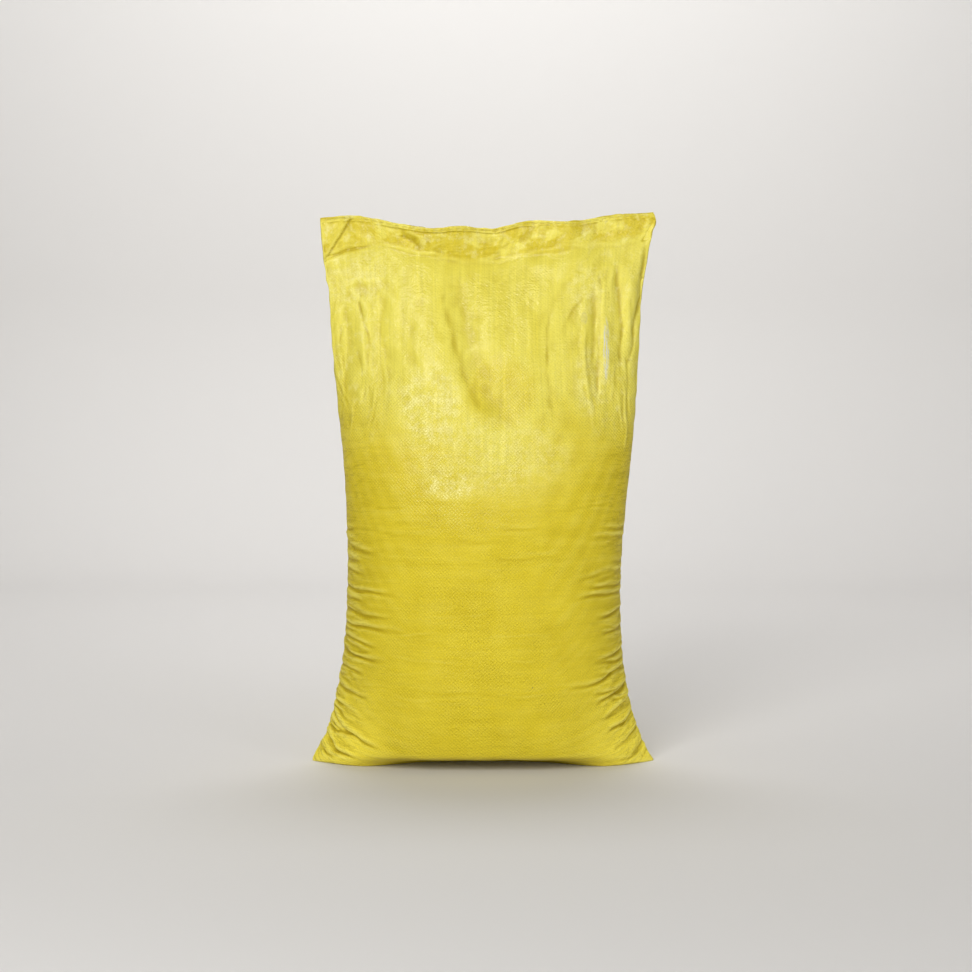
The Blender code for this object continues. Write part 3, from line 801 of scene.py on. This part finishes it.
# %% Hem and folded corner
HEM_ROWS = 2.5  # of the coarse rows, so about 8.5 mm
HEM_STEP = 0.0017
STITCH_PITCH = 0.011
FLAP_X, FLAP_Z, FLAP_SLOPE = -0.193, 0.789, 0.035 / 0.0564  # top of the folded corner's edge, and its slope
FLAP_LIFT = 0.0036
THICKEST = 0.118
hem = rows_down <= HEM_ROWS + 0.1
stitch_pull = np.cos(2 * math.pi * x / STITCH_PITCH)
lumpy = 0.0003 * stitch_pull + 0.0007 * small_crumple
slow, quick = uneven_field(26.0, 0.0, 21.0), uneven_field(90.0, 0.0, 22.0)
hem_shows = 0.25 + 0.75 * ease(-0.160, -0.120, x) * (1 - ease(0.045, 0.095, x))  # flat near both corners
proud = HEM_STEP * hem_shows * (1 + 0.9 * slow + 0.8 * quick)
points[:, 1] -= np.where(hem, (proud + lumpy) * np.maximum(front_ness, 0.5), 0)
points[:, 1] += np.where(hem & (sides > 0.01), HEM_STEP + 0.0006, 0)
below_hem = (np.abs(rows_down - HEM_ROWS - 0.5) < 0.1) & front
points[:, 2] += np.where(below_hem, 0.0011, 0)
points[:, 2] += (0.0018 * slow + 0.0010 * quick) * hump(rows_down - HEM_ROWS, 1.2) * front_ness
points[:, 2] += np.where(rows_down < 0.6, 0.0012 * small_crumple, 0)
flap_edge = FLAP_X + (z - FLAP_Z) * FLAP_SLOPE
on_flap = front & (x < flap_edge) & (z > crease - 0.012)
flap_lift = np.where(on_flap, FLAP_LIFT * ease(-0.045, -0.005, x - flap_edge), 0)
points[:, 1] = np.clip(points[:, 1] - flap_lift * (rows_down > 1.4), -THICKEST, THICKEST)
move_points(sack.data, points)
store(sack.data, "band", in_band * (rows_down > 0.4))
store(sack.data, "front", front_ness)
print("hem:", int(hem.sum()), "points, folded corner:", int(on_flap.sum()), "points")

# %% [markdown]
# ## The bottom hem
# The sack was sewn shut at the bottom too, and it stands on that seam. The hem lies flat under it, pressed
# up into the cloth by the weight: a strip nearly as wide as the sack and 14 mm deep.

# %% A strip under the sack
STRIP_HALF, STRIP_FRONT, STRIP_BACK = 0.232, 0.001, 0.015
STRIP_LOW, STRIP_THICK = 0.0018, 0.0013
points = mesh_values(sack.data)[0]
over_strip = 1 - ease(STRIP_HALF - 0.004, STRIP_HALF + 0.008, np.abs(points[:, 0]))
over_strip *= ease(STRIP_FRONT - 0.006, STRIP_FRONT - 0.001, points[:, 1])
over_strip *= 1 - ease(STRIP_BACK + 0.001, STRIP_BACK + 0.006, points[:, 1])
points[:, 2] = np.maximum(points[:, 2], (STRIP_LOW + STRIP_THICK + 0.0002) * over_strip)
move_points(sack.data, points)

strip_middle = (0, (STRIP_FRONT + STRIP_BACK) / 2, STRIP_LOW)
select_only()
bpy.ops.mesh.primitive_grid_add(x_subdivisions=120, y_subdivisions=4, size=1.0, location=strip_middle)
strip = bpy.context.object
strip.name = "bottom_hem"
strip.scale = (2 * STRIP_HALF, STRIP_BACK - STRIP_FRONT, 1)
bpy.ops.object.transform_apply(location=True, rotation=False, scale=True)
bpy.ops.object.mode_set(mode="EDIT")
bpy.ops.mesh.select_all(action="SELECT")
bpy.ops.mesh.extrude_region_move(TRANSFORM_OT_translate={"value": (0, 0, STRIP_THICK)})
bpy.ops.mesh.select_all(action="SELECT")
bpy.ops.mesh.normals_make_consistent(inside=False)
bpy.ops.object.mode_set(mode="OBJECT")
for vertex in strip.data.vertices:
    vertex.co.y += 0.0008 * noise.noise(Vector((vertex.co.x * 30, 2.0, 5.0)))
    vertex.co.z += 0.0003 * noise.noise(Vector((vertex.co.x * 80, vertex.co.y * 200, 1.0)))
strip.data.uv_layers[0].name = "cut_cloth"
for loop in strip.data.loops:
    corner = strip.data.vertices[loop.vertex_index].co
    strip.data.uv_layers[0].data[loop.index].uv = (corner.x + FLAT_WIDTH / 2, corner.y)
select_only(sack, strip)
bpy.ops.object.join()
print("sack with its bottom hem:", len(sack.data.polygons), "faces")

# %% [markdown]
# ## How the cloth bends
# Film on cloth wears pale along every ridge, and every valley is painted darker, as painted shade. So each
# point stores how far it stands out from its neighbours, and the finish reads that number.

# %% Read how the cloth bends
FULL_BEND = 0.0006  # metres from the neighbours' middle that count as a full ridge or valley


def bending(mesh):
    """How far each point stands out from its neighbours: plus on a ridge, minus in a valley."""
    points, normals = mesh_values(mesh)
    ends = np.empty(len(mesh.edges) * 2, int)
    mesh.edges.foreach_get("vertices", ends)
    first, second = ends.reshape(-1, 2).T
    count = np.bincount(first, minlength=len(points)) + np.bincount(second, minlength=len(points))
    stand = 0
    for _ in range(2):
        around = np.zeros((len(points), 3))
        for axis in range(3):
            around[:, axis] = np.bincount(first, points[second, axis], len(points))
            around[:, axis] += np.bincount(second, points[first, axis], len(points))
        around /= count[:, None]
        stand = stand + ((points - around) * normals).sum(axis=1)
        points = around
    return stand


stand = bending(sack.data)
store(sack.data, "stands_out", np.clip(stand / FULL_BEND, -1, 1))
print("bending, 5 to 95 percent:", np.percentile(stand, (5, 95)).round(5))

# %% [markdown]
# ## Finish of the sack: woven polypropylene tape under a clear film
# The cloth is woven from flat plastic tapes about 2.5 mm wide and coated with a thin film of the same
# plastic. The eye gets a satin yellow with a fine diagonal grain from the weave, lengthwise streaks because
# no two tapes are quite alike, and small broken highlights where the film crinkles.
#
# A few small helpers add the nodes. They work on the node tree that is being made, which is called `tree`.

# %% Helpers for the finishes


def linear(hex_colour):
    """An sRGB hex colour as the linear values that Blender works in."""
    values = [int(hex_colour[i : i + 2], 16) / 255 for i in (0, 2, 4)]
    return [v / 12.92 if v <= 0.04045 else ((v + 0.055) / 1.055) ** 2.4 for v in values] + [1.0]


def add(kind, settings=None, **inputs):
    """Adds a node: settings are its own, and inputs are values or sockets to link, by the socket's name."""
    node = tree.nodes.new("ShaderNode" + kind)
    for name, value in (settings or {}).items():
        setattr(node, name, value)
    for name, value in inputs.items():
        key = int(name[1:]) if name[0] == "_" else name.replace("_", " ")
        if isinstance(value, bpy.types.NodeSocket):
            tree.links.new(value, node.inputs[key])
        else:
            node.inputs[key].default_value = value
    return node


def new_material(name):
    made = bpy.data.materials.new(name)
    made.use_nodes = True
    return made, made.node_tree, made.node_tree.nodes["Principled BSDF"]


def maths(kind, a, b=0.0):
    return add("Math", {"operation": kind}, _0=a, _1=b).outputs[0]


def times(a, *others):
    for b in others:
        a = maths("MULTIPLY", a, b)
    return a


def spread(value, low, high, to_low=0.0, to_high=1.0, smooth=False):
    """Spreads a value between two new ends."""
    how = {"interpolation_type": "SMOOTHSTEP" if smooth else "LINEAR"}
    ends = {"From_Min": low, "From_Max": high, "To_Min": to_low, "To_Max": to_high}
    return add("MapRange", how, Value=value, **ends).outputs["Result"]


def speckle(coordinates, scale, stretch=(1.0, 1.0, 1.0), detail=3.0, roughness=0.6):
    """Noise with its own stretch, as a value around one half."""
    stretched = add("Mapping", Vector=coordinates, Scale=stretch).outputs["Vector"]
    return add("TexNoise", Vector=stretched, Scale=scale, Detail=detail, Roughness=roughness).outputs["Fac"]


def sharp_lines(value):
    """Turns soft noise into thin valleys, as wrinkled film has."""
    return maths("ABSOLUTE", spread(value, 0.25, 0.75, -1.0, 1.0))


def mixed(factor, a, b, blend="MIX"):
    """Mixes two colours, each a socket or a hex colour."""
    a, b = (linear(colour) if isinstance(colour, str) else colour for colour in (a, b))
    return add("MixRGB", {"blend_type": blend}, Fac=factor, Color1=a, Color2=b).outputs["Color"]


def named(name):
    return add("Attribute", {"attribute_name": name}).outputs["Fac"]


print("white is", linear("FFFFFF"))

# %% [markdown]
# ## Where things are on the sack
# Handling, sun and folding treat each part of a sack in their own way, so the finish first works out where
# it is: over the powder or in the slack top, on the band, near a side fold. Painted highlight patches,
# painted shade spots and small marks are upright ellipses on the front, each with its measures in metres.

# %% Where things are on the sack
HIGHLIGHT_PATCHES = (  # x, height, half the width and length of each painted highlight patch, where the film is also glossier, and how much
    (-0.075, 0.530, 0.052, 0.070, 1.0),
    (-0.048, 0.416, 0.045, 0.024, 1.0),
    (-0.190, 0.705, 0.068, 0.040, 0.7),
    (0.145, 0.690, 0.030, 0.040, 0.7),
    (0.155, 0.560, 0.030, 0.060, 0.7),
    (0.005, 0.458, 0.140, 0.062, 0.5),
)
SHADE_SPOTS = (  # the same measures of the painted shade spots: in the main fold, under the hem and under the folded corner
    (0.026, 0.545, 0.062, 0.060, 0.5),
    (-0.078, 0.757, 0.056, 0.015, 0.8),
    (-0.198, 0.768, 0.045, 0.034, 0.55),
)
SPECKS = (  # small dark marks
    (0.0705, 0.127, 0.0013, 0.0013, 0.6),
    (-0.1990, 0.792, 0.0016, 0.0016, 0.5),
    (0.0870, 0.791, 0.0016, 0.0016, 0.5),
    (0.1800, 0.797, 0.0016, 0.0016, 0.5),
)
SCUFF = (0.1770, 0.605, 0.0056, 0.050, 0.9)
SMUDGE = (0.1450, 0.650, 0.0060, 0.0110, 1.0)
SHEEN = (-0.015, 0.440, 0.170, 0.110, 1.0)  # where the film is still whole over the top of the powder
woven, tree, shader = new_material("laminated_woven_polypropylene")


def spot(x, z, wide, tall, amount):
    """The amount at the middle of an upright ellipse on the front, and 0 outside it."""
    across = maths("DIVIDE", maths("SUBTRACT", sideways, x), wide)
    up = maths("DIVIDE", maths("SUBTRACT", height, z), tall)
    far = maths("ADD", times(across, across), times(up, up))
    return times(spread(far, 1.0, 0.3, smooth=True), is_front_face, amount)


def spots_of(table, start=0.0):
    """The strongest of a table's spots at each place."""
    for row in table:
        start = maths("MAXIMUM", start, spot(*row))
    return start


cloth_uv = add("UVMap", {"uv_map": "cut_cloth"}).outputs["UV"]
cloth_place = add("SeparateXYZ", Vector=cloth_uv)
object_place = add("SeparateXYZ", Vector=add("TexCoord").outputs["Object"])
sideways, height = object_place.outputs["X"], object_place.outputs["Z"]
off_middle = maths("ABSOLUTE", sideways)
middle_rise = times(spread(off_middle, 0.16, 0.02, smooth=True), 0.07)
ragged = times(maths("SUBTRACT", speckle(cloth_uv, 9.0), 0.5), 0.22)
is_slack = spread(maths("ADD", height, maths("ADD", middle_rise, ragged)), 0.42, 0.58, smooth=True)
is_band, is_front_face = named("band"), named("front")
from_middle = maths("ABSOLUTE", maths("SUBTRACT", cloth_place.outputs["X"], FLAT_WIDTH / 2))
near_fold = times(spread(from_middle, 0.12, 0.24, smooth=True), maths("SUBTRACT", 1.0, is_slack))
at_sides = spread(from_middle, 0.10, 0.20, smooth=True)
painted_light_corner = times(spread(off_middle, 0.11, 0.20, smooth=True), spread(height, 0.18, 0.03, smooth=True))
pulled_tight = spread(height, 0.64, 0.50, 0.20, 1.0, smooth=True)  # the weave shows less higher up
whole_film = maths("MAXIMUM", is_slack, spot(*SHEEN))
# painted shade spots
painted_shade_spots = spots_of(SHADE_SPOTS)
# painted highlight patches, where the roughness is also lower
highlight_breakup = speckle(cloth_uv, 70.0, detail=5.0, roughness=0.7)
painted_highlight_and_gloss = times(spots_of(HIGHLIGHT_PATCHES), spread(highlight_breakup, 0.42, 0.60))
print("worn places:", len(HIGHLIGHT_PATCHES) + len(SHADE_SPOTS) + len(SPECKS))

# %% [markdown]
# ## Weave, tapes and wrinkles
# The patterns come next, all from the place on the cut cloth, so they follow each fold. Two sines of the
# tape's width make the weave. Stretched noise makes one tape paler than the next, and noise with sharp
# valleys makes the film's wrinkles: level over the powder, in all directions on the band.

# %% Weave, tapes and wrinkles
TAPE = 0.0026  # the real tape is 2.5 mm wide
TAPE_NOISE = 1 / (2.2 * TAPE)
patches = speckle(cloth_uv, 14.0, detail=2.0)
warp, weft = (maths("SINE", times(cloth_place.outputs[axis], math.pi / TAPE)) for axis in "XY")
over_under = times(warp, weft, spread(patches, 0.3, 0.7, 0.55, 1.25), pulled_tight)
tape_tone = speckle(cloth_uv, 1.0, (TAPE_NOISE, 6.0, 1.0), 2.0, 0.7)
weft_tone = speckle(cloth_uv, 1.0, (10.0, TAPE_NOISE, 1.0), 2.0, 0.7)
grain = speckle(cloth_uv, 480.0, detail=1.0)
crinkle = speckle(cloth_uv, 190.0, detail=5.0, roughness=0.70)
film_folds = sharp_lines(speckle(cloth_uv, 85.0, (0.8, 1.3, 1.0), 3.0, 0.55))
level_crinkle = speckle(cloth_uv, 60.0, (0.45, 1.5, 1.0), 5.0, 0.65)
pinched = sharp_lines(speckle(cloth_uv, 70.0, (0.22, 1.15, 1.0), 3.0, 0.60))
crumple = sharp_lines(speckle(cloth_uv, 48.0, (0.9, 1.1, 1.0), 4.0, 0.60))
cloud = speckle(cloth_uv, 20.0)
hanging_cloud = speckle(cloth_uv, 20.0, (1.6, 0.30, 1.0))
print("patterns for tapes", TAPE * 1000, "mm wide")

# %% [markdown]
# ## Colour
# The colour starts as a strong lemon over the powder and a paler, whiter one where the film hangs loose:
# a painted sheen of the slack top, which leans back towards the light. Then come painted light, wear and
# marks, from the wide to the small: the band and bottom corners painted paler as painted light, painted
# highlight patches and painted shade spots, streaks and weave, pale ridges where the film wears, painted
# shade in every valley and pinched line, small painted glints on crumpling film that whitens there too,
# the white scuff, the smudge and the specks.

# %% Colour of the woven film
lemon = mixed(spread(cloud, 0.3, 0.7), "D2BD24", "D9C52C")
# painted sheen: the slack top, which leans back towards the light, is painted a paler, whiter yellow
painted_sheen = mixed(spread(hanging_cloud, 0.3, 0.7), "DED04A", "E6DA5A")
lemon = mixed(is_slack, lemon, painted_sheen)
# painted light: the top band is painted paler than the rest of the sack
lemon = mixed(times(is_band, 0.50), lemon, "F2E45E")
band_blotches = spread(speckle(cloth_uv, 26.0, (0.8, 1.2, 1.0), 3.0), 0.44, 0.55, smooth=True)
# painted shade spots, together with darker random blotches on the band
lemon = mixed(maths("MAXIMUM", times(is_band, band_blotches, 0.85), painted_shade_spots), lemon, "D5C022")
# painted highlight patches, broken into glints by the weave and grain
highlight_glints = maths("ADD", times(over_under, 0.4), times(maths("SUBTRACT", grain, 0.5), 3.0))
highlight_glints = spread(highlight_glints, -0.5, 0.6, 0.25, 1.0)  # painted highlight glints where the tapes stand up
lemon = mixed(times(painted_highlight_and_gloss, highlight_glints, 0.80), lemon, "F7F0A2")
# painted light: the bottom corners, which face up towards the light, are painted paler
lemon = mixed(times(painted_light_corner, 0.9), lemon, "F8E548")
streak = mixed(is_slack, weft_tone, tape_tone)
streak_ends = (spread(is_slack, 0.0, 1.0, 0.95, 0.90), spread(is_slack, 0.0, 1.0, 1.02, 1.05))
grain_ends = (spread(pulled_tight, 0.2, 1.0, 0.96, 0.90), spread(pulled_tight, 0.2, 1.0, 1.03, 1.08))
for shade in (
    spread(streak, 0.3, 0.7, *streak_ends),
    spread(over_under, -1.0, 1.0, 0.90, 1.03),
    spread(grain, 0.3, 0.7, *grain_ends),
):
    lemon = mixed(1.0, lemon, shade, "MULTIPLY")
bend = named("stands_out")
ridges = times(spread(bend, 0.0, 0.8), spread(near_fold, 0.0, 1.0, 0.38, 0.62))
# painted shade: every valley is painted darker, while the ridges are paler where the film wears
painted_valley_shade = times(spread(bend, 0.0, -0.8), spread(is_slack, 0.0, 1.0, 0.72, 0.62))
lemon = mixed(ridges, lemon, "F1E66E")
lemon = mixed(painted_valley_shade, lemon, "AA930A")
# painted shade in the thin pinched lines near the side folds
lemon = mixed(times(spread(pinched, 0.0, 0.12, 0.52, 0.0), near_fold), lemon, "9A8406")
# painted highlights: small pale spots as glints of crumpling film on the band and slack sides, where the film
# also whitens
glint_speckle = speckle(cloth_uv, 62.0, (1.0, 0.8, 1.0), 5.0, 0.72)
painted_glint_area = maths("MAXIMUM", is_band, times(at_sides, is_slack, 0.7))
lemon = mixed(times(painted_glint_area, spread(glint_speckle, 0.52, 0.68, 0.0, 0.44)), lemon, "F6F0A6")
scratches = spread(speckle(cloth_uv, 1.0, (420.0, 36.0, 1.0), 3.0, 0.7), 0.44, 0.58)
lemon = mixed(times(spot(*SCUFF), scratches), lemon, "C9CCC6")
lemon = mixed(times(spot(*SMUDGE), spread(crinkle, 0.35, 0.65, 0.05, 0.34)), lemon, "A9A48E")
lemon = mixed(spots_of(SPECKS), lemon, "6F6A4A")
tree.links.new(lemon, shader.inputs["Base Color"])
print("colour of", woven.name, "from", len(tree.nodes), "nodes")

# %% [markdown]
# ## Gloss and relief
# The film is what shines, so the gloss is a clear coat, and the cloth under it reflects little. On the
# belly handling has dulled the film, and there the coat nearly fades out. The relief that is too fine for
# the mesh is bump: the weave first, then the wrinkles, strongest at the sides and on the band.

# %% Gloss and relief of the film
gloss = maths("SUBTRACT", spread(crinkle, 0.3, 0.7, 0.42, 0.62), times(painted_highlight_and_gloss, 0.16))
tree.links.new(gloss, shader.inputs["Roughness"])
tree.links.new(spread(whole_film, 0.0, 1.0, 0.06, 0.42), shader.inputs["Coat Weight"])
for socket, value in (("IOR", 1.38), ("Specular IOR Level", 0.22), ("Coat Roughness", 0.21)):
    shader.inputs[socket].default_value = value
relief = None
for pattern, strength, distance in (
    (over_under, 0.75, 0.0004),
    (crinkle, spread(maths("MAXIMUM", at_sides, is_band), 0.0, 1.0, 0.28, 0.68), 0.0013),
    (film_folds, spread(patches, 0.35, 0.65, 0.12, 0.40), 0.0022),
    (level_crinkle, spread(is_slack, 0.0, 1.0, 0.34, 0.15), 0.0030),
    (pinched, times(near_fold, 0.30), 0.0030),
    (crumple, times(is_band, 0.25), 0.0035),
):
    bump = add("Bump", Strength=strength, Distance=distance, Height=pattern)
    if relief:
        tree.links.new(relief, bump.inputs["Normal"])
    relief = bump.outputs["Normal"]
for socket in ("Normal", "Coat Normal"):
    tree.links.new(relief, shader.inputs[socket])
print("finish:", woven.name, "with", len(tree.nodes), "nodes")

# %% [markdown]
# ## What the piece stands for
# The cloth takes the place of the plain solid.

# %% Put the pieces in place of their solids


def finished(piece, material, node):
    """Gives a piece its finish, hangs it on the root body and hides the solid that it stands for."""
    select_only(piece)
    bpy.ops.object.shade_smooth()
    piece.data.materials.clear()
    piece.data.materials.append(material)
    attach(piece, "root")
    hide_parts(node)


finished(sack, woven, "sack")
print(sack.name, "stands for the solid", "sack")

# %% [markdown]
# ## Closing threads
# Bag thread is a soft spun polyester, over a millimetre thick. From the front it shows as separate stitches
# about 8 mm long, and at the back as a chain of loops. One stitch and one loop are modelled, to be copied.

# %% One stitch and one loop
THREAD_RADIUS = 0.0006
STITCH_LENGTH = 0.0078
LOOP_RADIUS = 0.0052


def to_its_end(x):
    """0 along most of a stitch, and up to 1 at its ends."""
    return (abs(x) / (STITCH_LENGTH / 2)) ** 4


def one_stitch():
    """A short round strand along X, with narrowed ends."""
    select_only()
    bpy.ops.mesh.primitive_cylinder_add(
        vertices=8, radius=THREAD_RADIUS, depth=STITCH_LENGTH, rotation=(0, math.pi / 2, 0)
    )
    stitch = bpy.context.object
    bpy.ops.object.transform_apply(location=False, rotation=True, scale=False)
    bpy.ops.object.mode_set(mode="EDIT")
    for cut_at in np.linspace(-0.4, 0.4, 7) * STITCH_LENGTH:
        bpy.ops.mesh.select_all(action="SELECT")
        bpy.ops.mesh.bisect(plane_co=(cut_at, 0, 0), plane_no=(1, 0, 0))
    bpy.ops.object.mode_set(mode="OBJECT")
    for vertex in stitch.data.vertices:
        narrow = 1 - 0.35 * to_its_end(vertex.co.x)
        vertex.co.y *= narrow
        vertex.co.z *= narrow
    return stitch


def one_loop():
    """A long ring, as the looper thread makes at the back."""
    select_only()
    bpy.ops.mesh.primitive_torus_add(
        major_radius=LOOP_RADIUS,
        minor_radius=THREAD_RADIUS * 0.8,
        major_segments=20,
        minor_segments=6,
        rotation=(math.pi / 2, 0, 0),
    )
    ring = bpy.context.object
    bpy.ops.object.transform_apply(location=False, rotation=True, scale=False)
    bpy.ops.object.mode_set(mode="EDIT")
    bpy.ops.mesh.select_all(action="SELECT")
    bpy.ops.transform.resize(value=(1.35, 1.0, 0.24), center_override=(0, 0, 0))
    bpy.ops.object.mode_set(mode="OBJECT")
    return ring


print("a stitch of", STITCH_LENGTH * 1000, "mm, with thread", 2000 * THREAD_RADIUS, "mm thick")

# %% [markdown]
# ## Sew along the hem
# Each copy is laid on its line point by point, so stitches and loops bend with the hem that they close. At
# both of its ends a stitch dives into the cloth.

# %% Copy the stitches and loops along both hems
SEAM_LEFT, SEAM_RIGHT, FLOOR_SEAM_HALF = -0.222, 0.236, 0.222


def row_of_copies(model, places, name, laid_at):
    """Copies the model to each place along X, lays each copy on its line, and joins them."""
    copies = []
    for place in places:
        copied = model.copy()
        copied.data = model.data.copy()
        bpy.context.collection.objects.link(copied)
        for vertex in copied.data.vertices:
            vertex.co = laid_at(place, vertex.co)
        copies.append(copied)
    bpy.data.objects.remove(model)
    select_only(*copies)
    bpy.ops.object.join()
    copies[0].name = copies[0].data.name = name
    return copies[0]


def hem_line(panel_side):
    """The middle of the top hem on one side of the sack, as x, y and height."""
    points, _, sides, row = mesh_values(sack.data, "side", "row")
    on_line = (np.abs(row - (ROWS - 1.5)) < 0.1) & (panel_side * sides > 0.4)
    line = points[on_line]
    return line[np.argsort(line[:, 0])].T


front_line, back_line = hem_line(-1), hem_line(1)


def along_front(place, at):
    x = place + at.x
    y = np.interp(x, *front_line[:2]) - 0.6 * THREAD_RADIUS + 0.0010 * to_its_end(at.x) + at.y
    return Vector((x, y, np.interp(x, *front_line[::2]) + at.z + 0.05 * at.x))


def along_back(place, at):
    x = place + at.x
    y = np.interp(x, *back_line[:2]) + 0.5 * THREAD_RADIUS + 0.0004 * at.x / 0.007 + at.y
    return Vector((x, y, np.interp(x, *back_line[::2]) + at.z))


def along_floor(place, at):
    z = STRIP_LOW - THREAD_RADIUS + 0.0006 * to_its_end(at.x) + at.z
    return Vector((place + at.x, STRIP_FRONT + 0.005 + at.y, z))


stitch_places = np.arange(SEAM_LEFT, SEAM_RIGHT, STITCH_PITCH)
floor_places = np.arange(-FLOOR_SEAM_HALF, FLOOR_SEAM_HALF + 0.001, STITCH_PITCH)
top_thread = row_of_copies(one_stitch(), stitch_places, "top_thread_stitches", along_front)
back_loops = row_of_copies(one_loop(), stitch_places + STITCH_PITCH / 2, "back_loops", along_back)
select_only(top_thread, back_loops)
bpy.ops.object.join()
bottom_thread = row_of_copies(one_stitch(), floor_places, "bottom_thread_stitches", along_floor)
print("stitches:", len(stitch_places), "above,", len(floor_places), "below")

# %% [markdown]
# ## Finish of the threads
# Spun polyester is dull and a little fuzzy, dyed close to the sack's own yellow. A fine slanting wave as
# bump is its twist, drawn coarser than the real one so that it shows, and faint noise is its fuzz.

# %% Finish of the threads: spun polyester
spun, tree, shader = new_material("spun_polyester_thread")
thread_place = add("TexCoord").outputs["Object"]
ply = add("Mapping", Vector=thread_place, Rotation=(0, 0.7, 0), Scale=(1400.0, 1400.0, 1400.0))
twist = add("TexWave", Vector=ply.outputs["Vector"], Scale=0.5, Distortion=1.0).outputs["Fac"]
fuzz = spread(speckle(thread_place, 900.0), 0.3, 0.7)
tree.links.new(mixed(fuzz, "CDBB2C", "E0D258"), shader.inputs["Base Color"])
twist_bump = add("Bump", Strength=0.6, Distance=0.0003, Height=twist)
tree.links.new(twist_bump.outputs["Normal"], shader.inputs["Normal"])
for socket, value in (("Roughness", 0.75), ("Sheen Weight", 0.2)):
    shader.inputs[socket].default_value = value
finished(top_thread, spun, "top_thread")
finished(bottom_thread, spun, "bottom_thread")
print("finish:", spun.name)

# %% [markdown]
# ## Floor
# A pale paper floor runs up into a pale wall: the back edge of a plane is spun upwards and then drawn
# straight. Seen from behind, the paper lets the view through, so the back of the sack can be looked at too.

# %% Floor and wall of paper
FLOOR_WIDTH, FLOOR_FRONT, SWEEP_START, SWEEP_RADIUS, WALL_TOP = 14.0, -6.0, 1.8, 0.6, 4.0
select_only()
bpy.ops.mesh.primitive_plane_add(size=1.0, location=(0, 0, 0))
floor = bpy.context.object
floor.name = "studio_floor"
floor.dimensions = (FLOOR_WIDTH, SWEEP_START - FLOOR_FRONT, 0)
floor.location.y = (SWEEP_START + FLOOR_FRONT) / 2
bpy.ops.object.transform_apply(location=True, rotation=False, scale=True)
bpy.ops.object.mode_set(mode="EDIT")
bpy.ops.mesh.select_mode(type="EDGE")
bpy.ops.mesh.select_all(action="DESELECT")
bpy.ops.object.mode_set(mode="OBJECT")
for edge in floor.data.edges:
    edge.select = all(floor.data.vertices[i].co.y > SWEEP_START - 0.01 for i in edge.vertices)
bpy.ops.object.mode_set(mode="EDIT")
bpy.ops.mesh.spin(
    steps=24, angle=math.radians(-90), center=(0, SWEEP_START, SWEEP_RADIUS), axis=(1, 0, 0)
)
bpy.ops.mesh.extrude_region_move(TRANSFORM_OT_translate={"value": (0, 0, WALL_TOP)})
bpy.ops.mesh.select_mode(type="FACE")
bpy.ops.mesh.select_all(action="DESELECT")
bpy.ops.object.mode_set(mode="OBJECT")
for face in floor.data.polygons:
    face.select = face.normal.dot(Vector((0, -1, 1))) < 0
bpy.ops.object.mode_set(mode="EDIT")
bpy.ops.mesh.flip_normals()
bpy.ops.object.mode_set(mode="OBJECT")
bpy.ops.object.shade_smooth()
paper, tree, shader = new_material("pale_studio_paper")
shader.inputs["Base Color"].default_value = linear("D7D5D3")
shader.inputs["Roughness"].default_value = 0.9
from_behind = add("NewGeometry").outputs["Backfacing"]
clear = add("BsdfTransparent").outputs["BSDF"]
one_sided = add("MixShader", _0=from_behind, _1=shader.outputs["BSDF"], _2=clear)
tree.links.new(one_sided.outputs["Shader"], tree.nodes["Material Output"].inputs["Surface"])
floor.data.materials.append(paper)
print("floor:", [round(length, 2) for length in floor.dimensions], "m")

# %% [markdown]
# ## Light
# One large soft light stands at the upper left, a weak one fills in from the right, and a third one lights
# only the wall. The surround is pale where the camera sees it, and dim as a light.

# %% Lights and surround
LIGHTS = (  # name, place, diameter, watts, and the point that it is aimed at
    ("key_light", (-1.20, -3.20, 1.95), 2.0, 95, (0, 0, 0.4)),
    ("fill_light", (2.3, -2.7, 0.6), 1.6, 34, (0, 0, 0.4)),
    ("wall_light", (0.0, 1.0, 2.6), 1.6, 42, (0, 2.4, 0.5)),
)
for name, place, size, power, aim in LIGHTS:
    bpy.ops.object.light_add(type="AREA", location=place)
    lamp = bpy.context.object
    lamp.name = name
    lamp.data.shape = "DISK"
    lamp.data.size = size
    lamp.data.energy = power
    lamp.rotation_euler = (Vector(aim) - Vector(place)).to_track_quat("-Z", "Y").to_euler()
world = bpy.data.worlds.new("studio")
bpy.context.scene.world = world
world.use_nodes = True
tree = world.node_tree
surround = tree.nodes["Background"]
surround.inputs["Color"].default_value = linear("E6E4DF")
is_seen = add("LightPath").outputs["Is Camera Ray"]
tree.links.new(spread(is_seen, 0.0, 1.0, 0.26, 0.94), surround.inputs["Strength"])
bpy.context.scene.view_settings.view_transform = "Standard"
print("lights:", [name for name, *_ in LIGHTS])

# %% [markdown]
# ## Camera
# The camera stands four metres away and a little above the sack's middle, looking six degrees down, as the
# photographer did. Its lens follows from the width that the square picture covers at the sack.

# %% Camera
DISTANCE, ELEVATION = 4.0, math.radians(6)
AIM = Vector((0.0044, 0.0, 0.4048))
PICTURE_WIDTH = 1.4128  # metres that the square picture covers at the sack
SENSOR = 36
back = Vector((0, -math.cos(ELEVATION), math.sin(ELEVATION)))
bpy.ops.object.camera_add(location=AIM + back * DISTANCE)
camera = bpy.context.object
camera.rotation_euler = (-back).to_track_quat("-Z", "Y").to_euler()
camera.data.sensor_width = SENSOR
camera.data.lens = SENSOR * DISTANCE / PICTURE_WIDTH
bpy.context.scene.camera = camera
print("lens", round(camera.data.lens, 1), "mm at", DISTANCE, "m")
